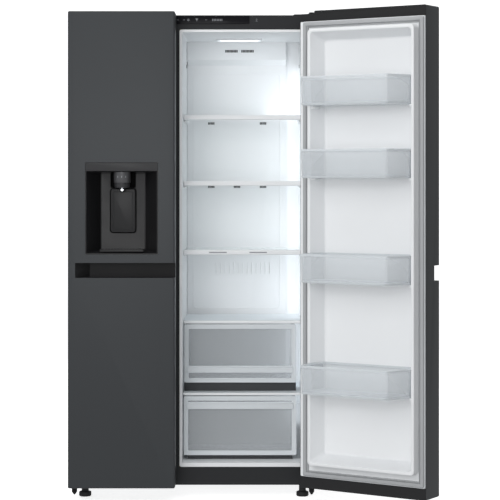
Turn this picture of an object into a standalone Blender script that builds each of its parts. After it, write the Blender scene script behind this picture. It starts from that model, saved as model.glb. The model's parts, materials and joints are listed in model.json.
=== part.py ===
"""A side by side refrigerator: a freezer with a water dispenser on the left, fresh food on the right.

X runs across the case from its centre line, Y runs back from the closed doors' front faces and Z runs up
from the floor. Every piece is drawn in that frame with both doors closed, hung on the empty that carries
its joint, and turned to rest by that empty. The last step moves the whole object so that its origin is
the middle of its footprint.
"""

import math

import bmesh
import bpy
from mathutils import Matrix, Vector

# ---- Overall sizes, in metres ----
CASE_WIDTH = 0.908
CASE_TOP = 1.785
CASE_BASE = 0.0457
OVERALL_DEPTH = 0.735
FIT = 0.0003  # gap between pieces that touch
PAST = 0.010  # how far a cut runs on past the face it opens
BITE = 0.001  # how far two pieces of one casting run into each other
SOFT_EDGE = 0.0015  # the rounding of a moulded plate's edges
SHARP_ANGLE = math.radians(35)

# ---- Case walls ----
SIDE_WALL = 0.049
DIVIDER_CENTRE = -0.061
DIVIDER_WALL = 0.036
TOP_WALL = 0.062
FLOOR_WALL = 0.0813
REAR_WALL = 0.075
LINER_SHEET = 0.002
LINER_STAND_OFF = 0.0005  # from the front frame's face back to the liners' flanges
SHELL_SHEET = 0.0008
SHELL_CORNER = 0.004
FRAME_SHEET = 0.003
FLANGE_SIDE = 0.009
FLANGE_BASE = 0.0145
LINER_CORNER = 0.006
STEP_RISE = 0.173  # the liners rise over the compressor space
STEP_LENGTH = 0.185
STEP_SLOPE = 0.020
STEP_WALL = 0.038

# ---- Doors ----
DOOR_THICKNESS = 0.108
DOOR_OVER_CASE = 0.005
DOOR_OVER_BASE = 0.0067
DOOR_GAP = 0.006
DOOR_SKIN = 0.001
DOOR_LIP = 0.0006
DOOR_EDGE = 0.005
DOOR_CORNER = 0.004
ROUND_SHARE = 0.29  # where an edge's round crosses its own middle
FOAM_END_GAP = 0.004
TOP_BAND = 0.039
BASE_BAND = 0.043
HINGE_INSET = 0.019
HINGE_DEPTH = 0.058
OPEN_ANGLE = 147.5
GASKET_THICKNESS = 0.012
GASKET_WIDTH = 0.023
GASKET_CORNER = 0.004
GASKET_FREE_INSET = 0.0015
GASKET_HINGE_INSET = 0.014
DYKE_RISE = 0.040
DYKE_TOP_WIDTH = 0.013
DYKE_EDGE = 0.004
DYKE_FREE_GAP = 0.012  # from the raised wall to the compartment's walls
FREEZER_DYKE_EXTRA = 0.003
DYKE_HINGE_GAP = 0.0035
DYKE_TOP_GAP = 0.002
DYKE_BASE_GAP = 0.0154
DYKE_CORNER = 0.016
RECESS_DEPTH = 0.068
FREEZER_RECESS_DEPTH = 0.046
RECESS_SLOPE = 0.022
RECESS_SLOPE_FREE = 0.008

# ---- Handle pockets ----
POCKET_BASE = 0.819
POCKET_HEIGHT = 0.054
POCKET_DEPTH = 0.042
POCKET_RAMP = 0.050
POCKET_HINGE_INSET = 0.027

# ---- Hinges ----
PIN_RADIUS = 0.006
PIN_CLEARANCE = 0.0008
PIN_REACH = 0.014
PIN_CHAMFER = 0.001
HINGE_PLATE = 0.004
HINGE_ARM_HALF = 0.010
HINGE_ARM_REACH = 0.110
NOTCH_DEPTH = 0.010
NOTCH_REACH = 0.078
NOTCH_LIP = 0.007
NUT_DROP = 0.020
NUT_RADIUS = 0.010

# ---- Dispenser ----
DISPENSER_WIDTH = 0.256
DISPENSER_BASE = 0.908
DISPENSER_HEIGHT = 0.300
DISPENSER_BACKING = 0.023  # what is left of the door behind the tub
DISPENSER_SET_BACK = 0.0005
DISPENSER_BACK_WIDTH = 0.170
DISPENSER_SHEET = 0.002
DISPENSER_FLANGE = 0.004
HEADER_HEIGHT = 0.0305
NOZZLE_RADIUS = 0.0305
NOZZLE_DROP = 0.061
SPOUT_DROP = 0.014
SPOUT_RADIUS = 0.012
NOZZLE_DEPTH = 0.036
LEVER_WIDTH = 0.090
LEVER_HEIGHT = 0.158
LEVER_SHEET = 0.004
LEVER_GAP = 0.013
LEVER_DROP = 0.006
TRAY_HEIGHT = 0.011
TRAY_WALL = 0.002
TRAY_SIDE_GAP = 0.006
TRAY_LIFT = 0.0035
TRAY_END_GAP = 0.004

# ---- Inside the fresh food compartment ----
SHELF_SHARES = (0.7188, 0.4875, 0.2461)  # of the way from the drawers' cover up to the ceiling
SHELF_TO_BIN = 0.017
SHELF_BACK_GAP = 0.060
SHELF_GLASS = 0.004
SHELF_SIDE_GAP = 0.0015
PLATE_CORNER = 0.005
TRIM_HEIGHT = 0.018
TRIM_DEPTH = 0.022
TRIM_LIP = 0.0015
TRIM_GROOVE = 0.006
RAIL_WIDTH = 0.008
CRISPER_COVER_THICKNESS = 0.011
CRISPER_DIVIDER_THICKNESS = 0.009
CRISPER_TOP_GAP = 0.003
UPPER_CRISPER_LIFT = 0.032
UPPER_CRISPER_HEIGHT = 0.220
UPPER_CRISPER_BACK_GAP = 0.038
LOWER_CRISPER_LIFT = 0.016
LOWER_CRISPER_HEIGHT = 0.221
LOWER_CRISPER_TO_DOOR = 0.052
LOWER_CRISPER_BACK_GAP = 0.020
CRISPER_WALL = 0.003
CRISPER_FREE_GAP = 0.003
CRISPER_HINGE_GAP = 0.022
CRISPER_TAPER = 0.006
DUCT_LEFT_GAP = 0.004
DUCT_RIGHT_GAP = 0.053
DUCT_PROUD = 0.026
DUCT_HEAD_PROUD = 0.056
DUCT_HEAD_HEIGHT = 0.092
DUCT_HEAD_SLOPE = 0.020
VENT_WIDTH = 0.026
VENT_HEIGHT = 0.010
VENT_DEPTH = 0.012
VENT_ROWS = ((0, 0.019, (0.097, 0.304)), (1, 0.022, (0.097, 0.200, 0.304)))  # shelf, drop, places
LOUVRE_DROP = 0.042
LOUVRE_HEIGHT = 0.011
LOUVRE_WIDTH = 0.050
LOUVRE_PLACES = (0.178, 0.242)
LIGHT_PLACE = 0.126
LIGHT_WIDTH = 0.167
LIGHT_BACK_GAP = 0.103
LIGHT_LENGTH = 0.097
LIGHT_DROP = 0.004

# ---- Door bins ----
BIN_HEIGHT = 0.101
BIN_WALL = 0.003
BIN_REACH = 0.097
BIN_GAP = 0.002
BIN_CORNER = 0.010
BIN_HINGE_TAPER = 0.013
BIN_FREE_TAPER = 0.040
FRESH_BIN_SHARES = (0.8287, 0.6619, 0.4216, 0.1659)  # of the way up the recess in the door's liner
FREEZER_BIN_SHARES = (0.8016, 0.1898)

# ---- Inside the freezer ----
FREEZER_SHELF_SHARES = (0.735, 0.4843)  # of the way from the floor up to the ceiling
FREEZER_SHELF_THICKNESS = 0.006
BASKET_LIFT = 0.013
BASKET_HEIGHT = 0.200
BASKET_BACK_GAP = 0.013
ICE_BUCKET_TOP_GAP = 0.073
ICE_BUCKET_HEIGHT = 0.180
ICE_BUCKET_BACK_GAP = 0.008
TUB_WALL = 0.003
TUB_CORNER = 0.010
TUB_SIDE_GAP = 0.012

# ---- Cooling pieces ----
EVAPORATOR_LIFT = 0.060
EVAPORATOR_HEIGHT = 0.400
FIN_COUNT = 12
FIN_SPINE = 0.003
FIN_SHEET = 0.002
EVAPORATOR_DEPTH = 0.022
CONDENSER_LENGTH = 0.220
CONDENSER_HEIGHT = 0.130
CONDENSER_DEPTH = 0.090
COMPRESSOR_RADIUS = 0.062
COMPRESSOR_HEIGHT = 0.150
COMPRESSOR_X = 0.200
FAN_RADIUS = 0.055
FAN_HUB_RADIUS = 0.016
FAN_HUB_LENGTH = 0.018
FAN_BLADES = 5
FAN_BLADE_PITCH = 32.0
FAN_BLADE_SHEET = 0.002
FAN_BLADE_CHORD = 0.030
FAN_X = -0.060
FAN_AXLE_RADIUS = 0.004
FAN_MOTOR_RADIUS = 0.020
FAN_MOTOR_LENGTH = 0.030
FAN_MOTOR_GAP = 0.002
FAN_LIFT = 0.030
STAND_HALF = 0.012
STAND_SHEET = 0.004

# ---- Base ----
BASE_SHEET = 0.0015
FOOT_RADIUS = 0.022
FOOT_HEIGHT = 0.018
FOOT_STEM = 0.013
FOOT_INSET = 0.050
FOOT_FROM_FRAME = 0.030
ROLLER_RADIUS = 0.022
ROLLER_WIDTH = 0.020
ROLLER_INSET = 0.070
ROLLER_FROM_BACK = 0.070
AXLE_RADIUS = 0.005
AXLE_CLEARANCE = 0.0008
CHEEK_SHEET = 0.003
CHEEK_HALF = 0.010
CHEEK_DROP = 0.009
CHEEK_GAP = 0.001
COVER_SHEET = 0.001
COVER_SLOTS = 7
SLOT_WIDTH = 0.006
SLOT_HEIGHT = 0.110
INLET_WIDTH = 0.048
INLET_HEIGHT = 0.034
INLET_DEPTH = 0.012
INLET_WALL = 0.003
INLET_CORNER = 0.004

# ---- Control strip on the top of the front frame ----
STRIP_OVERHANG = 0.021  # to the left of the fresh food compartment
STRIP_WIDTH = 0.271
STRIP_DROP = 0.0323
STRIP_EDGE = 0.0006
STRIP_CORNER = 0.0025
STRIP_HEIGHT = 0.0293
STRIP_PROUD = 0.003

# ---- Places that follow from the sizes above ----
CASE_HALF = CASE_WIDTH / 2
CEILING = CASE_TOP - TOP_WALL
FLOOR = CASE_BASE + FLOOR_WALL
COMPARTMENT_BACK = OVERALL_DEPTH - REAR_WALL
STEP_TOP = FLOOR + STEP_RISE
STEP_FRONT = COMPARTMENT_BACK - STEP_LENGTH
DOOR_TOP = CASE_TOP + DOOR_OVER_CASE
DOOR_BASE = CASE_BASE + DOOR_OVER_BASE
DOOR_GAP_CENTRE = DIVIDER_CENTRE
DYKE_FREE_INSET = DIVIDER_WALL / 2 - DOOR_GAP / 2 + DYKE_FREE_GAP
DYKE_HINGE_INSET = SIDE_WALL + DYKE_HINGE_GAP
DYKE_TOP_INSET = DOOR_TOP - CEILING + DYKE_TOP_GAP
DYKE_BASE_INSET = FLOOR - DOOR_BASE + DYKE_BASE_GAP
DYKE_TOP = DOOR_THICKNESS + DYKE_RISE
CASE_FRONT = DOOR_THICKNESS + GASKET_THICKNESS
BODY_FRONT = CASE_FRONT + FRAME_SHEET + FIT
PANEL_FRONT = OVERALL_DEPTH - SHELL_SHEET - FIT
BODY_BACK = PANEL_FRONT - FIT
INSIDE_HALF = CASE_HALF - SHELL_SHEET - FIT
LINER_FRONT = CASE_FRONT + LINER_STAND_OFF
FOOT_DEPTH = CASE_FRONT + FOOT_FROM_FRAME
BASE_PLATE_TOP = CASE_BASE + BASE_SHEET * 2
FOAM_BASE = BASE_PLATE_TOP + FIT
LINER_GAP = LINER_SHEET + FIT
MACHINE_FRONT = STEP_FRONT + STEP_SLOPE + STEP_WALL
MACHINE_TOP = STEP_TOP - LINER_GAP - STEP_WALL
MACHINE_MIDDLE = (MACHINE_FRONT + BODY_BACK) / 2
FRESH_LEFT = DIVIDER_CENTRE + DIVIDER_WALL / 2
FRESH_RIGHT = CASE_HALF - SIDE_WALL
FREEZER_LEFT = -CASE_HALF + SIDE_WALL
FREEZER_RIGHT = DIVIDER_CENTRE - DIVIDER_WALL / 2
HINGE_X = CASE_HALF - HINGE_INSET
STRIP_LEFT = FRESH_LEFT - STRIP_OVERHANG
STRIP_BASE = CASE_TOP - STRIP_DROP
SHELF_FRONT = DYKE_TOP + BIN_REACH + SHELF_TO_BIN
SHELF_BACK = COMPARTMENT_BACK - SHELF_BACK_GAP
LOWER_CRISPER_FRONT = DYKE_TOP + LOWER_CRISPER_TO_DOOR
LOWER_CRISPER_LENGTH = STEP_FRONT - LOWER_CRISPER_BACK_GAP - LOWER_CRISPER_FRONT
LOWER_CRISPER_BASE = FLOOR + LOWER_CRISPER_LIFT
CRISPER_DIVIDER_TOP = LOWER_CRISPER_BASE + LOWER_CRISPER_HEIGHT + CRISPER_TOP_GAP + CRISPER_DIVIDER_THICKNESS
UPPER_CRISPER_BASE = CRISPER_DIVIDER_TOP + UPPER_CRISPER_LIFT
UPPER_CRISPER_LENGTH = SHELF_BACK - UPPER_CRISPER_BACK_GAP - SHELF_FRONT
CRISPER_COVER_TOP = UPPER_CRISPER_BASE + UPPER_CRISPER_HEIGHT + CRISPER_TOP_GAP + CRISPER_COVER_THICKNESS
SHELF_TOPS = [CRISPER_COVER_TOP + share * (CEILING - CRISPER_COVER_TOP) for share in SHELF_SHARES]
DUCT_HEAD_BASE = CEILING - DUCT_HEAD_HEIGHT
LOUVRE_BASE = CEILING - LOUVRE_DROP
LIGHT_LEFT = FRESH_LEFT + LIGHT_PLACE
LIGHT_FRONT = COMPARTMENT_BACK - LIGHT_BACK_GAP - LIGHT_LENGTH
RECESS_BASE = DOOR_BASE + DYKE_BASE_INSET + DYKE_TOP_WIDTH
RECESS_HEIGHT = DOOR_TOP - DYKE_TOP_INSET - DYKE_TOP_WIDTH - RECESS_BASE
FRESH_BIN_BASES = [RECESS_BASE + share * RECESS_HEIGHT for share in FRESH_BIN_SHARES]
FREEZER_BIN_BASES = [RECESS_BASE + share * RECESS_HEIGHT for share in FREEZER_BIN_SHARES]
FREEZER_SHELF_TOPS = [FLOOR + share * (CEILING - FLOOR) for share in FREEZER_SHELF_SHARES]
BASKET_BASE = FLOOR + BASKET_LIFT
BASKET_LENGTH = STEP_FRONT - BASKET_BACK_GAP - SHELF_FRONT
ICE_BUCKET_BASE = CEILING - ICE_BUCKET_TOP_GAP - ICE_BUCKET_HEIGHT
ICE_BUCKET_LENGTH = SHELF_BACK - ICE_BUCKET_BACK_GAP - SHELF_FRONT
EVAPORATOR_BASE = STEP_TOP + EVAPORATOR_LIFT
FRESH_DOOR_FREE = DOOR_GAP_CENTRE + DOOR_GAP / 2
FREEZER_DOOR_FREE = DOOR_GAP_CENTRE - DOOR_GAP / 2
DISPENSER_X = (-CASE_HALF + FREEZER_DOOR_FREE) / 2 + 0.001
DISPENSER_TOP = DISPENSER_BASE + DISPENSER_HEIGHT
DISPENSER_DEPTH = DOOR_THICKNESS - DISPENSER_BACKING
LEVER_TOP = DISPENSER_TOP - NOZZLE_DROP - LEVER_DROP
LEVER_DEPTH = DISPENSER_DEPTH - LEVER_GAP


class Side:
    """One door's places across the case: which way its hinge lies, and the edges that follow."""

    def __init__(self, sign, free_edge, recess_depth, dyke_extra):
        self.sign = sign
        self.free_edge = free_edge
        self.hinge_edge = sign * CASE_HALF
        self.hinge = Vector((sign * HINGE_X, HINGE_DEPTH, 0.0))
        self.recess_depth = recess_depth
        self.dyke_free_inset = DYKE_FREE_INSET + dyke_extra

    def span(self, free_inset, hinge_inset):
        """The lower and higher X between two insets, one from the free edge and one from the hinge edge."""
        ends = (self.free_edge + self.sign * free_inset, self.hinge_edge - self.sign * hinge_inset)
        return min(ends), max(ends)


FRESH = Side(1, FRESH_DOOR_FREE, RECESS_DEPTH, 0.0)
FREEZER = Side(-1, FREEZER_DOOR_FREE, FREEZER_RECESS_DEPTH, FREEZER_DYKE_EXTRA)


# ---- Shape helpers ----
def rounded(corners, radius, steps=3):
    """A convex outline with its corners rounded, each by the same number of points."""
    points = []
    for index, corner in enumerate(corners):
        here = Vector(corner)
        before = (Vector(corners[index - 1]) - here).normalized()
        after = (Vector(corners[(index + 1) % len(corners)]) - here).normalized()
        half = before.angle(after) / 2
        centre = here + (before + after).normalized() * (radius / math.sin(half))
        start = here + before * (radius / math.tan(half)) - centre
        end = here + after * (radius / math.tan(half)) - centre
        turn = start.angle_signed(end)
        for step in range(steps + 1):
            points.append(centre + Matrix.Rotation(-turn * step / steps, 2) @ start)
    return points


def rect(low_a, high_a, low_b, high_b, radius, steps=3):
    corners = ((low_a, low_b), (high_a, low_b), (high_a, high_b), (low_a, high_b))
    return rounded(corners, radius, steps)


def grown(box, amount):
    """A rectangle's four limits, each moved outwards; a negative amount moves them inwards."""
    low_a, high_a, low_b, high_b = box
    return low_a - amount, high_a + amount, low_b - amount, high_b + amount


def circle(centre_a, centre_b, radius, steps=24):
    turns = (2 * math.pi * step / steps for step in range(steps))
    return [Vector((centre_a + radius * math.cos(t), centre_b + radius * math.sin(t))) for t in turns]


def arc(centre_a, centre_b, radius, start, end, steps=4):
    turns = (math.radians(start + (end - start) * step / steps) for step in range(steps + 1))
    return [(centre_a + radius * math.cos(t), centre_b + radius * math.sin(t)) for t in turns]


def placed(point, axis, level):
    """A flat point lifted to its level: X takes (Y, Z) points, Y takes (X, Z) and Z takes (X, Y)."""
    a, b = point
    return {"X": (level, a, b), "Y": (a, level, b), "Z": (a, b, level)}[axis]


def stack(sections, axis, ring=False):
    """Joins outlines of equal point counts, each at its level. A ring closes on itself, with no caps."""
    shape = bmesh.new()
    loops = [[shape.verts.new(placed(p, axis, level)) for p in outline] for outline, level in sections]
    pairs = list(zip(loops, loops[1:]))
    if ring:
        pairs.append((loops[-1], loops[0]))
    else:
        shape.faces.new(loops[0])
        shape.faces.new(loops[-1])
    for first, second in pairs:
        for index in range(len(first)):
            shape.faces.new((first[index - 1], first[index], second[index], second[index - 1]))
    return shape


def prism(outline, axis, low, high):
    """An outline of any shape pushed from one level to another."""
    return stack(((outline, low), (outline, high)), axis)


def box(low, high):
    outline = ((low[0], low[2]), (high[0], low[2]), (high[0], high[2]), (low[0], high[2]))
    return prism(outline, "Y", low[1], high[1])


def tub(outer_base, outer_top, wall, base, top, corner):
    """An open-topped tub: outside wall up, over the rim and down to the inside of its floor."""
    return stack(
        (
            (rect(*outer_base, corner), base),
            (rect(*outer_top, corner), top),
            (rect(*grown(outer_top, -wall), corner - wall / 2), top),
            (rect(*grown(outer_base, -wall), corner - wall / 2), base + wall),
        ),
        "Z",
    )


# ---- Scene helpers ----
def clear_scene():
    for thing in list(bpy.data.objects):
        bpy.data.objects.remove(thing, do_unlink=True)


def finish(name, colour, roughness, metallic=0.0, alpha=1.0):
    """One Principled finish, with its colour in linear values."""
    material = bpy.data.materials.new(name)
    material.use_nodes = True
    shader = material.node_tree.nodes["Principled BSDF"]
    shader.inputs["Base Color"].default_value = (*colour, 1.0)
    shader.inputs["Roughness"].default_value = roughness
    shader.inputs["Metallic"].default_value = metallic
    shader.inputs["Alpha"].default_value = alpha
    material.diffuse_color = (*colour, alpha)
    return material


def finishes():
    """Every colour family of the object; each node takes its own copy."""
    return {
        "black_steel": ((0.052, 0.055, 0.060), 0.42, 0.6),
        "black_plastic": ((0.020, 0.021, 0.023), 0.45, 0.0),
        "gloss_black": ((0.010, 0.010, 0.012), 0.12, 0.0),
        "white_liner": ((0.780, 0.810, 0.840), 0.35, 0.0),
        "grey_gasket": ((0.480, 0.490, 0.500), 0.70, 0.0),
        "clear_plastic": ((0.850, 0.880, 0.900), 0.08, 0.0),
        "shelf_glass": ((0.800, 0.880, 0.860), 0.04, 0.0),
        "foam": ((0.780, 0.700, 0.480), 0.90, 0.0),
        "zinc_steel": ((0.550, 0.560, 0.570), 0.35, 0.9),
        "bare_aluminium": ((0.700, 0.710, 0.720), 0.30, 1.0),
        "black_enamel": ((0.015, 0.015, 0.016), 0.35, 0.2),
        "grey_rubber": ((0.060, 0.060, 0.060), 0.80, 0.0),
        "nozzle_grey": ((0.250, 0.250, 0.260), 0.30, 0.8),
    }


FINISHES = finishes()


def empty(name, place, parent=None):
    marker = bpy.data.objects.new(name, None)
    marker.empty_display_size = 0.05
    marker.location = place
    marker.parent = parent
    bpy.context.scene.collection.objects.link(marker)
    return marker


def middle(shape):
    low = Vector([min(v.co[k] for v in shape.verts) for k in range(3)])
    high = Vector([max(v.co[k] for v in shape.verts) for k in range(3)])
    return (low + high) / 2


def add(name, shape, look, anchor, origin=None):
    """Makes a node from a shape drawn in the case's frame, and hangs it on its anchor.

    Its own origin is the middle of the shape, or the given point on its joint's axis.
    """
    bmesh.ops.recalc_face_normals(shape, faces=shape.faces)
    centre = Vector(origin) if origin else middle(shape)
    bmesh.ops.translate(shape, verts=shape.verts, vec=-centre)
    mesh = bpy.data.meshes.new(name)
    shape.to_mesh(mesh)
    shape.free()
    mesh.materials.append(finish(name, *FINISHES[look]))
    mesh.shade_smooth()
    mesh.set_sharp_from_angle(angle=SHARP_ANGLE)
    part = bpy.data.objects.new(name, mesh)
    part.parent = anchor
    # An anchor's place is in the root's frame, which is the case's frame until the very end.
    part.location = centre - (anchor.location if anchor.parent else Vector())
    bpy.context.scene.collection.objects.link(part)
    return part


def tool(name, shape, anchor):
    """A hidden shape for a Boolean."""
    part = add(name, shape, "foam", anchor)
    part.hide_render = True
    part.display_type = "WIRE"
    return part


def combine(part, other, operation="DIFFERENCE"):
    modifier = part.modifiers.new(f"{operation.lower()} {other.name}", "BOOLEAN")
    modifier.operation = operation
    modifier.solver = "EXACT"
    modifier.object = other
    return part


# ---- Case ----
def make_outer_shell(case):
    """A folded sheet over both sides and the top."""
    inner = CASE_HALF - SHELL_SHEET
    turn = SHELL_CORNER
    turn_in = SHELL_CORNER - SHELL_SHEET
    centre = CASE_HALF - turn
    height = CASE_TOP - turn
    outline = [(-CASE_HALF, CASE_BASE), (-inner, CASE_BASE)]
    outline += arc(-centre, height, turn_in, 180, 90)
    outline += arc(centre, height, turn_in, 90, 0)
    outline += [(inner, CASE_BASE), (CASE_HALF, CASE_BASE)]
    outline += arc(centre, height, turn, 0, 90)
    outline += arc(-centre, height, turn, 90, 180)
    add("outer_shell", prism(outline, "Y", BODY_FRONT, OVERALL_DEPTH), "black_steel", case)


def make_rear_panel(case):
    low = (-INSIDE_HALF, PANEL_FRONT, MACHINE_TOP + FIT)
    high = (INSIDE_HALF, PANEL_FRONT + SHELL_SHEET, CASE_TOP - SHELL_SHEET - SHELL_CORNER)
    add("rear_panel", box(low, high), "zinc_steel", case)


def make_foam(case):
    """Rigid foam between the shell and the liners, as one block for each wall."""
    side_inner = FRESH_RIGHT + LINER_GAP
    top = CEILING + LINER_GAP - FIT
    for name, low_x, high_x in (
        ("left_wall_foam", -INSIDE_HALF, -side_inner),
        ("right_wall_foam", side_inner, INSIDE_HALF),
    ):
        add(name, box((low_x, BODY_FRONT, FOAM_BASE), (high_x, BODY_BACK, top)), "foam", case)
    top_half = INSIDE_HALF - SHELL_CORNER
    add(
        "top_foam",
        box((-top_half, BODY_FRONT, top + FIT), (top_half, BODY_BACK, CASE_TOP - SHELL_SHEET - FIT)),
        "foam",
        case,
    )
    wall_half = side_inner - FIT
    back = COMPARTMENT_BACK + LINER_GAP
    step_base = STEP_TOP - LINER_GAP
    floor_top = FLOOR - LINER_GAP
    slope_front = STEP_FRONT + LINER_GAP
    slope_back = slope_front + STEP_SLOPE
    add(
        "rear_foam",
        box((-wall_half, back, step_base + FIT), (wall_half, BODY_BACK, top)),
        "foam",
        case,
    )
    floor_outline = (
        (BODY_FRONT, FOAM_BASE),
        (MACHINE_FRONT, FOAM_BASE),
        (MACHINE_FRONT, MACHINE_TOP),
        (BODY_BACK, MACHINE_TOP),
        (BODY_BACK, step_base),
        (slope_back, step_base),
        (slope_front, floor_top),
        (BODY_FRONT, floor_top),
    )
    add("floor_foam", prism(floor_outline, "X", -wall_half, wall_half), "foam", case)
    divider_outline = (
        (BODY_FRONT, floor_top + FIT),
        (slope_front - FIT, floor_top + FIT),
        (slope_back - FIT, step_base + FIT),
        (back - FIT, step_base + FIT),
        (back - FIT, top),
        (BODY_FRONT, top),
    )
    low_x = FREEZER_RIGHT + LINER_GAP
    high_x = FRESH_LEFT - LINER_GAP
    add("divider_foam", prism(divider_outline, "X", low_x, high_x), "foam", case)


def flange_of(left, right):
    return (left - FLANGE_SIDE, right + FLANGE_SIDE, FLOOR - FLANGE_BASE, CEILING + FLANGE_SIDE)


def make_liner(name, left, right, case):
    """A formed tub on its side: back wall, raised floor over the machinery, mouth and front flange."""
    mouth = (left, right, FLOOR, CEILING)
    raised = (left, right, STEP_TOP, CEILING)
    flange = flange_of(left, right)
    outer_mouth = grown(mouth, LINER_SHEET)
    outer_raised = grown(raised, LINER_SHEET)
    outer_corner = LINER_CORNER + LINER_SHEET
    step_back = STEP_FRONT + STEP_SLOPE
    flange_back = LINER_FRONT + LINER_SHEET
    sections = (
        (rect(*raised, LINER_CORNER), COMPARTMENT_BACK),
        (rect(*raised, LINER_CORNER), step_back),
        (rect(*mouth, LINER_CORNER), STEP_FRONT),
        (rect(*mouth, LINER_CORNER), LINER_FRONT),
        (rect(*flange, outer_corner), LINER_FRONT),
        (rect(*flange, outer_corner), flange_back),
        (rect(*outer_mouth, outer_corner), flange_back),
        (rect(*outer_mouth, outer_corner), STEP_FRONT + LINER_SHEET),
        (rect(*outer_raised, outer_corner), step_back + LINER_SHEET),
        (rect(*outer_raised, outer_corner), COMPARTMENT_BACK + LINER_SHEET),
    )
    add(name, stack(sections, "Y"), "white_liner", case)


def make_front_frame(case):
    """The dark plate round both mouths, with the mullion between them."""
    low = (-CASE_HALF, CASE_FRONT, CASE_BASE)
    high = (CASE_HALF, CASE_FRONT + FRAME_SHEET, CASE_TOP)
    frame = add("front_frame", box(low, high), "black_steel", case)
    for name, left, right in (
        ("freezer_mouth", FREEZER_LEFT, FREEZER_RIGHT),
        ("fresh_mouth", FRESH_LEFT, FRESH_RIGHT),
    ):
        opening = rect(*grown(flange_of(left, right), FIT), LINER_CORNER)
        mouth = tool(name, prism(opening, "Y", CASE_FRONT - PAST, BODY_FRONT + PAST), case)
        combine(frame, mouth)


def make_control_panel(case):
    strip = (STRIP_LEFT, STRIP_LEFT + STRIP_WIDTH, STRIP_BASE, STRIP_BASE + STRIP_HEIGHT)
    front = CASE_FRONT - STRIP_PROUD
    sections = (
        (rect(*grown(strip, -STRIP_EDGE), STRIP_CORNER - STRIP_EDGE), front),
        (rect(*strip, STRIP_CORNER), front + STRIP_EDGE),
        (rect(*strip, STRIP_CORNER), CASE_FRONT - FIT),
    )
    add("control_panel", stack(sections, "Y"), "gloss_black", case)


def make_air_duct(case):
    """The panel over the cold air duct, with its vents and the louvred head under the ceiling."""
    back = COMPARTMENT_BACK - FIT
    face = COMPARTMENT_BACK - DUCT_PROUD
    head = COMPARTMENT_BACK - DUCT_HEAD_PROUD
    top = CEILING - FIT
    base = STEP_TOP + LINER_CORNER
    outline = (
        (back, base),
        (face, base),
        (face, DUCT_HEAD_BASE),
        (head, DUCT_HEAD_BASE + DUCT_HEAD_SLOPE),
        (head, top),
        (back, top),
    )
    left = FRESH_LEFT + DUCT_LEFT_GAP
    corner_gap = LINER_CORNER - DUCT_LEFT_GAP
    right = FRESH_RIGHT - DUCT_RIGHT_GAP
    duct = add("air_duct_panel", prism(outline, "X", left, right), "white_liner", case)
    trim = box((left - PAST, head - PAST, CEILING - corner_gap), (left + corner_gap, back + PAST, CEILING))
    combine(duct, tool("duct_corner", trim, case))
    for shelf, drop, places in VENT_ROWS:
        level = SHELF_TOPS[shelf] - drop
        for number, place in enumerate(places):
            centre = FRESH_LEFT + place
            low = (centre - VENT_WIDTH / 2, face - PAST, level - VENT_HEIGHT / 2)
            high = (centre + VENT_WIDTH / 2, face + VENT_DEPTH, level + VENT_HEIGHT / 2)
            combine(duct, tool(f"vent_{shelf}_{number}", box(low, high), case))
    for number, place in enumerate(LOUVRE_PLACES):
        centre = FRESH_LEFT + place
        low = (centre - LOUVRE_WIDTH / 2, head - PAST, LOUVRE_BASE)
        high = (centre + LOUVRE_WIDTH / 2, head + VENT_DEPTH, LOUVRE_BASE + LOUVRE_HEIGHT)
        combine(duct, tool(f"louvre_{number}", box(low, high), case))


def make_light_cover(case):
    area = (LIGHT_LEFT, LIGHT_LEFT + LIGHT_WIDTH, LIGHT_FRONT, LIGHT_FRONT + LIGHT_LENGTH)
    corner = LIGHT_DROP * 0.8
    sections = (
        (rect(*grown(area, -LIGHT_DROP / 2), corner / 2), CEILING - LIGHT_DROP),
        (rect(*grown(area, -LIGHT_DROP / 6), corner), CEILING - LIGHT_DROP * 0.75),
        (rect(*area, corner), CEILING - FIT),
    )
    add("light_cover", stack(sections, "Z"), "clear_plastic", case)


# ---- Shelves and drawers ----
def make_shelf(number, top, case):
    """A glass pane in a moulded front trim, whose side rails run back along the compartment walls."""
    left = FRESH_LEFT + SHELF_SIDE_GAP
    right = FRESH_RIGHT - SHELF_SIDE_GAP
    trim_back = SHELF_FRONT + TRIM_DEPTH
    groove = SHELF_FRONT + TRIM_GROOVE
    under = top - SHELF_GLASS - FIT
    base = top - TRIM_HEIGHT + TRIM_LIP
    outline = (
        (SHELF_FRONT, top + TRIM_LIP),
        (SHELF_FRONT, base),
        (trim_back, base),
        (trim_back, under),
        (groove, under),
        (groove, top + FIT),
        (trim_back, top + FIT),
        (trim_back, top + TRIM_LIP),
    )
    trim = add(f"shelf_trim_{number}", prism(outline, "X", left, right), "white_liner", case)
    for side, low_x, high_x in (("left", left, left + RAIL_WIDTH), ("right", right - RAIL_WIDTH, right)):
        rail = box((low_x, trim_back - RAIL_WIDTH / 2, base), (high_x, SHELF_BACK, under))
        combine(trim, tool(f"shelf_rail_{number}_{side}", rail, case), "UNION")
    pane = box((left, groove + FIT, top - SHELF_GLASS), (right, SHELF_BACK, top))
    add(f"shelf_glass_{number}", pane, "shelf_glass", case)


def make_crisper_plates(case):
    """The cover over the upper drawer and the divider over the lower one."""
    left = FRESH_LEFT + SHELF_SIDE_GAP
    right = FRESH_RIGHT - SHELF_SIDE_GAP
    for name, front, top, thickness in (
        ("crisper_cover", SHELF_FRONT, CRISPER_COVER_TOP, CRISPER_COVER_THICKNESS),
        ("crisper_divider", LOWER_CRISPER_FRONT, CRISPER_DIVIDER_TOP, CRISPER_DIVIDER_THICKNESS),
    ):
        area = (left, right, front, SHELF_BACK)
        inner = grown(area, -SOFT_EDGE)
        sections = (
            (rect(*inner, PLATE_CORNER), top - thickness),
            (rect(*area, PLATE_CORNER), top - thickness + SOFT_EDGE),
            (rect(*area, PLATE_CORNER), top - SOFT_EDGE),
            (rect(*inner, PLATE_CORNER), top),
        )
        add(name, stack(sections, "Z"), "clear_plastic", case)


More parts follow.
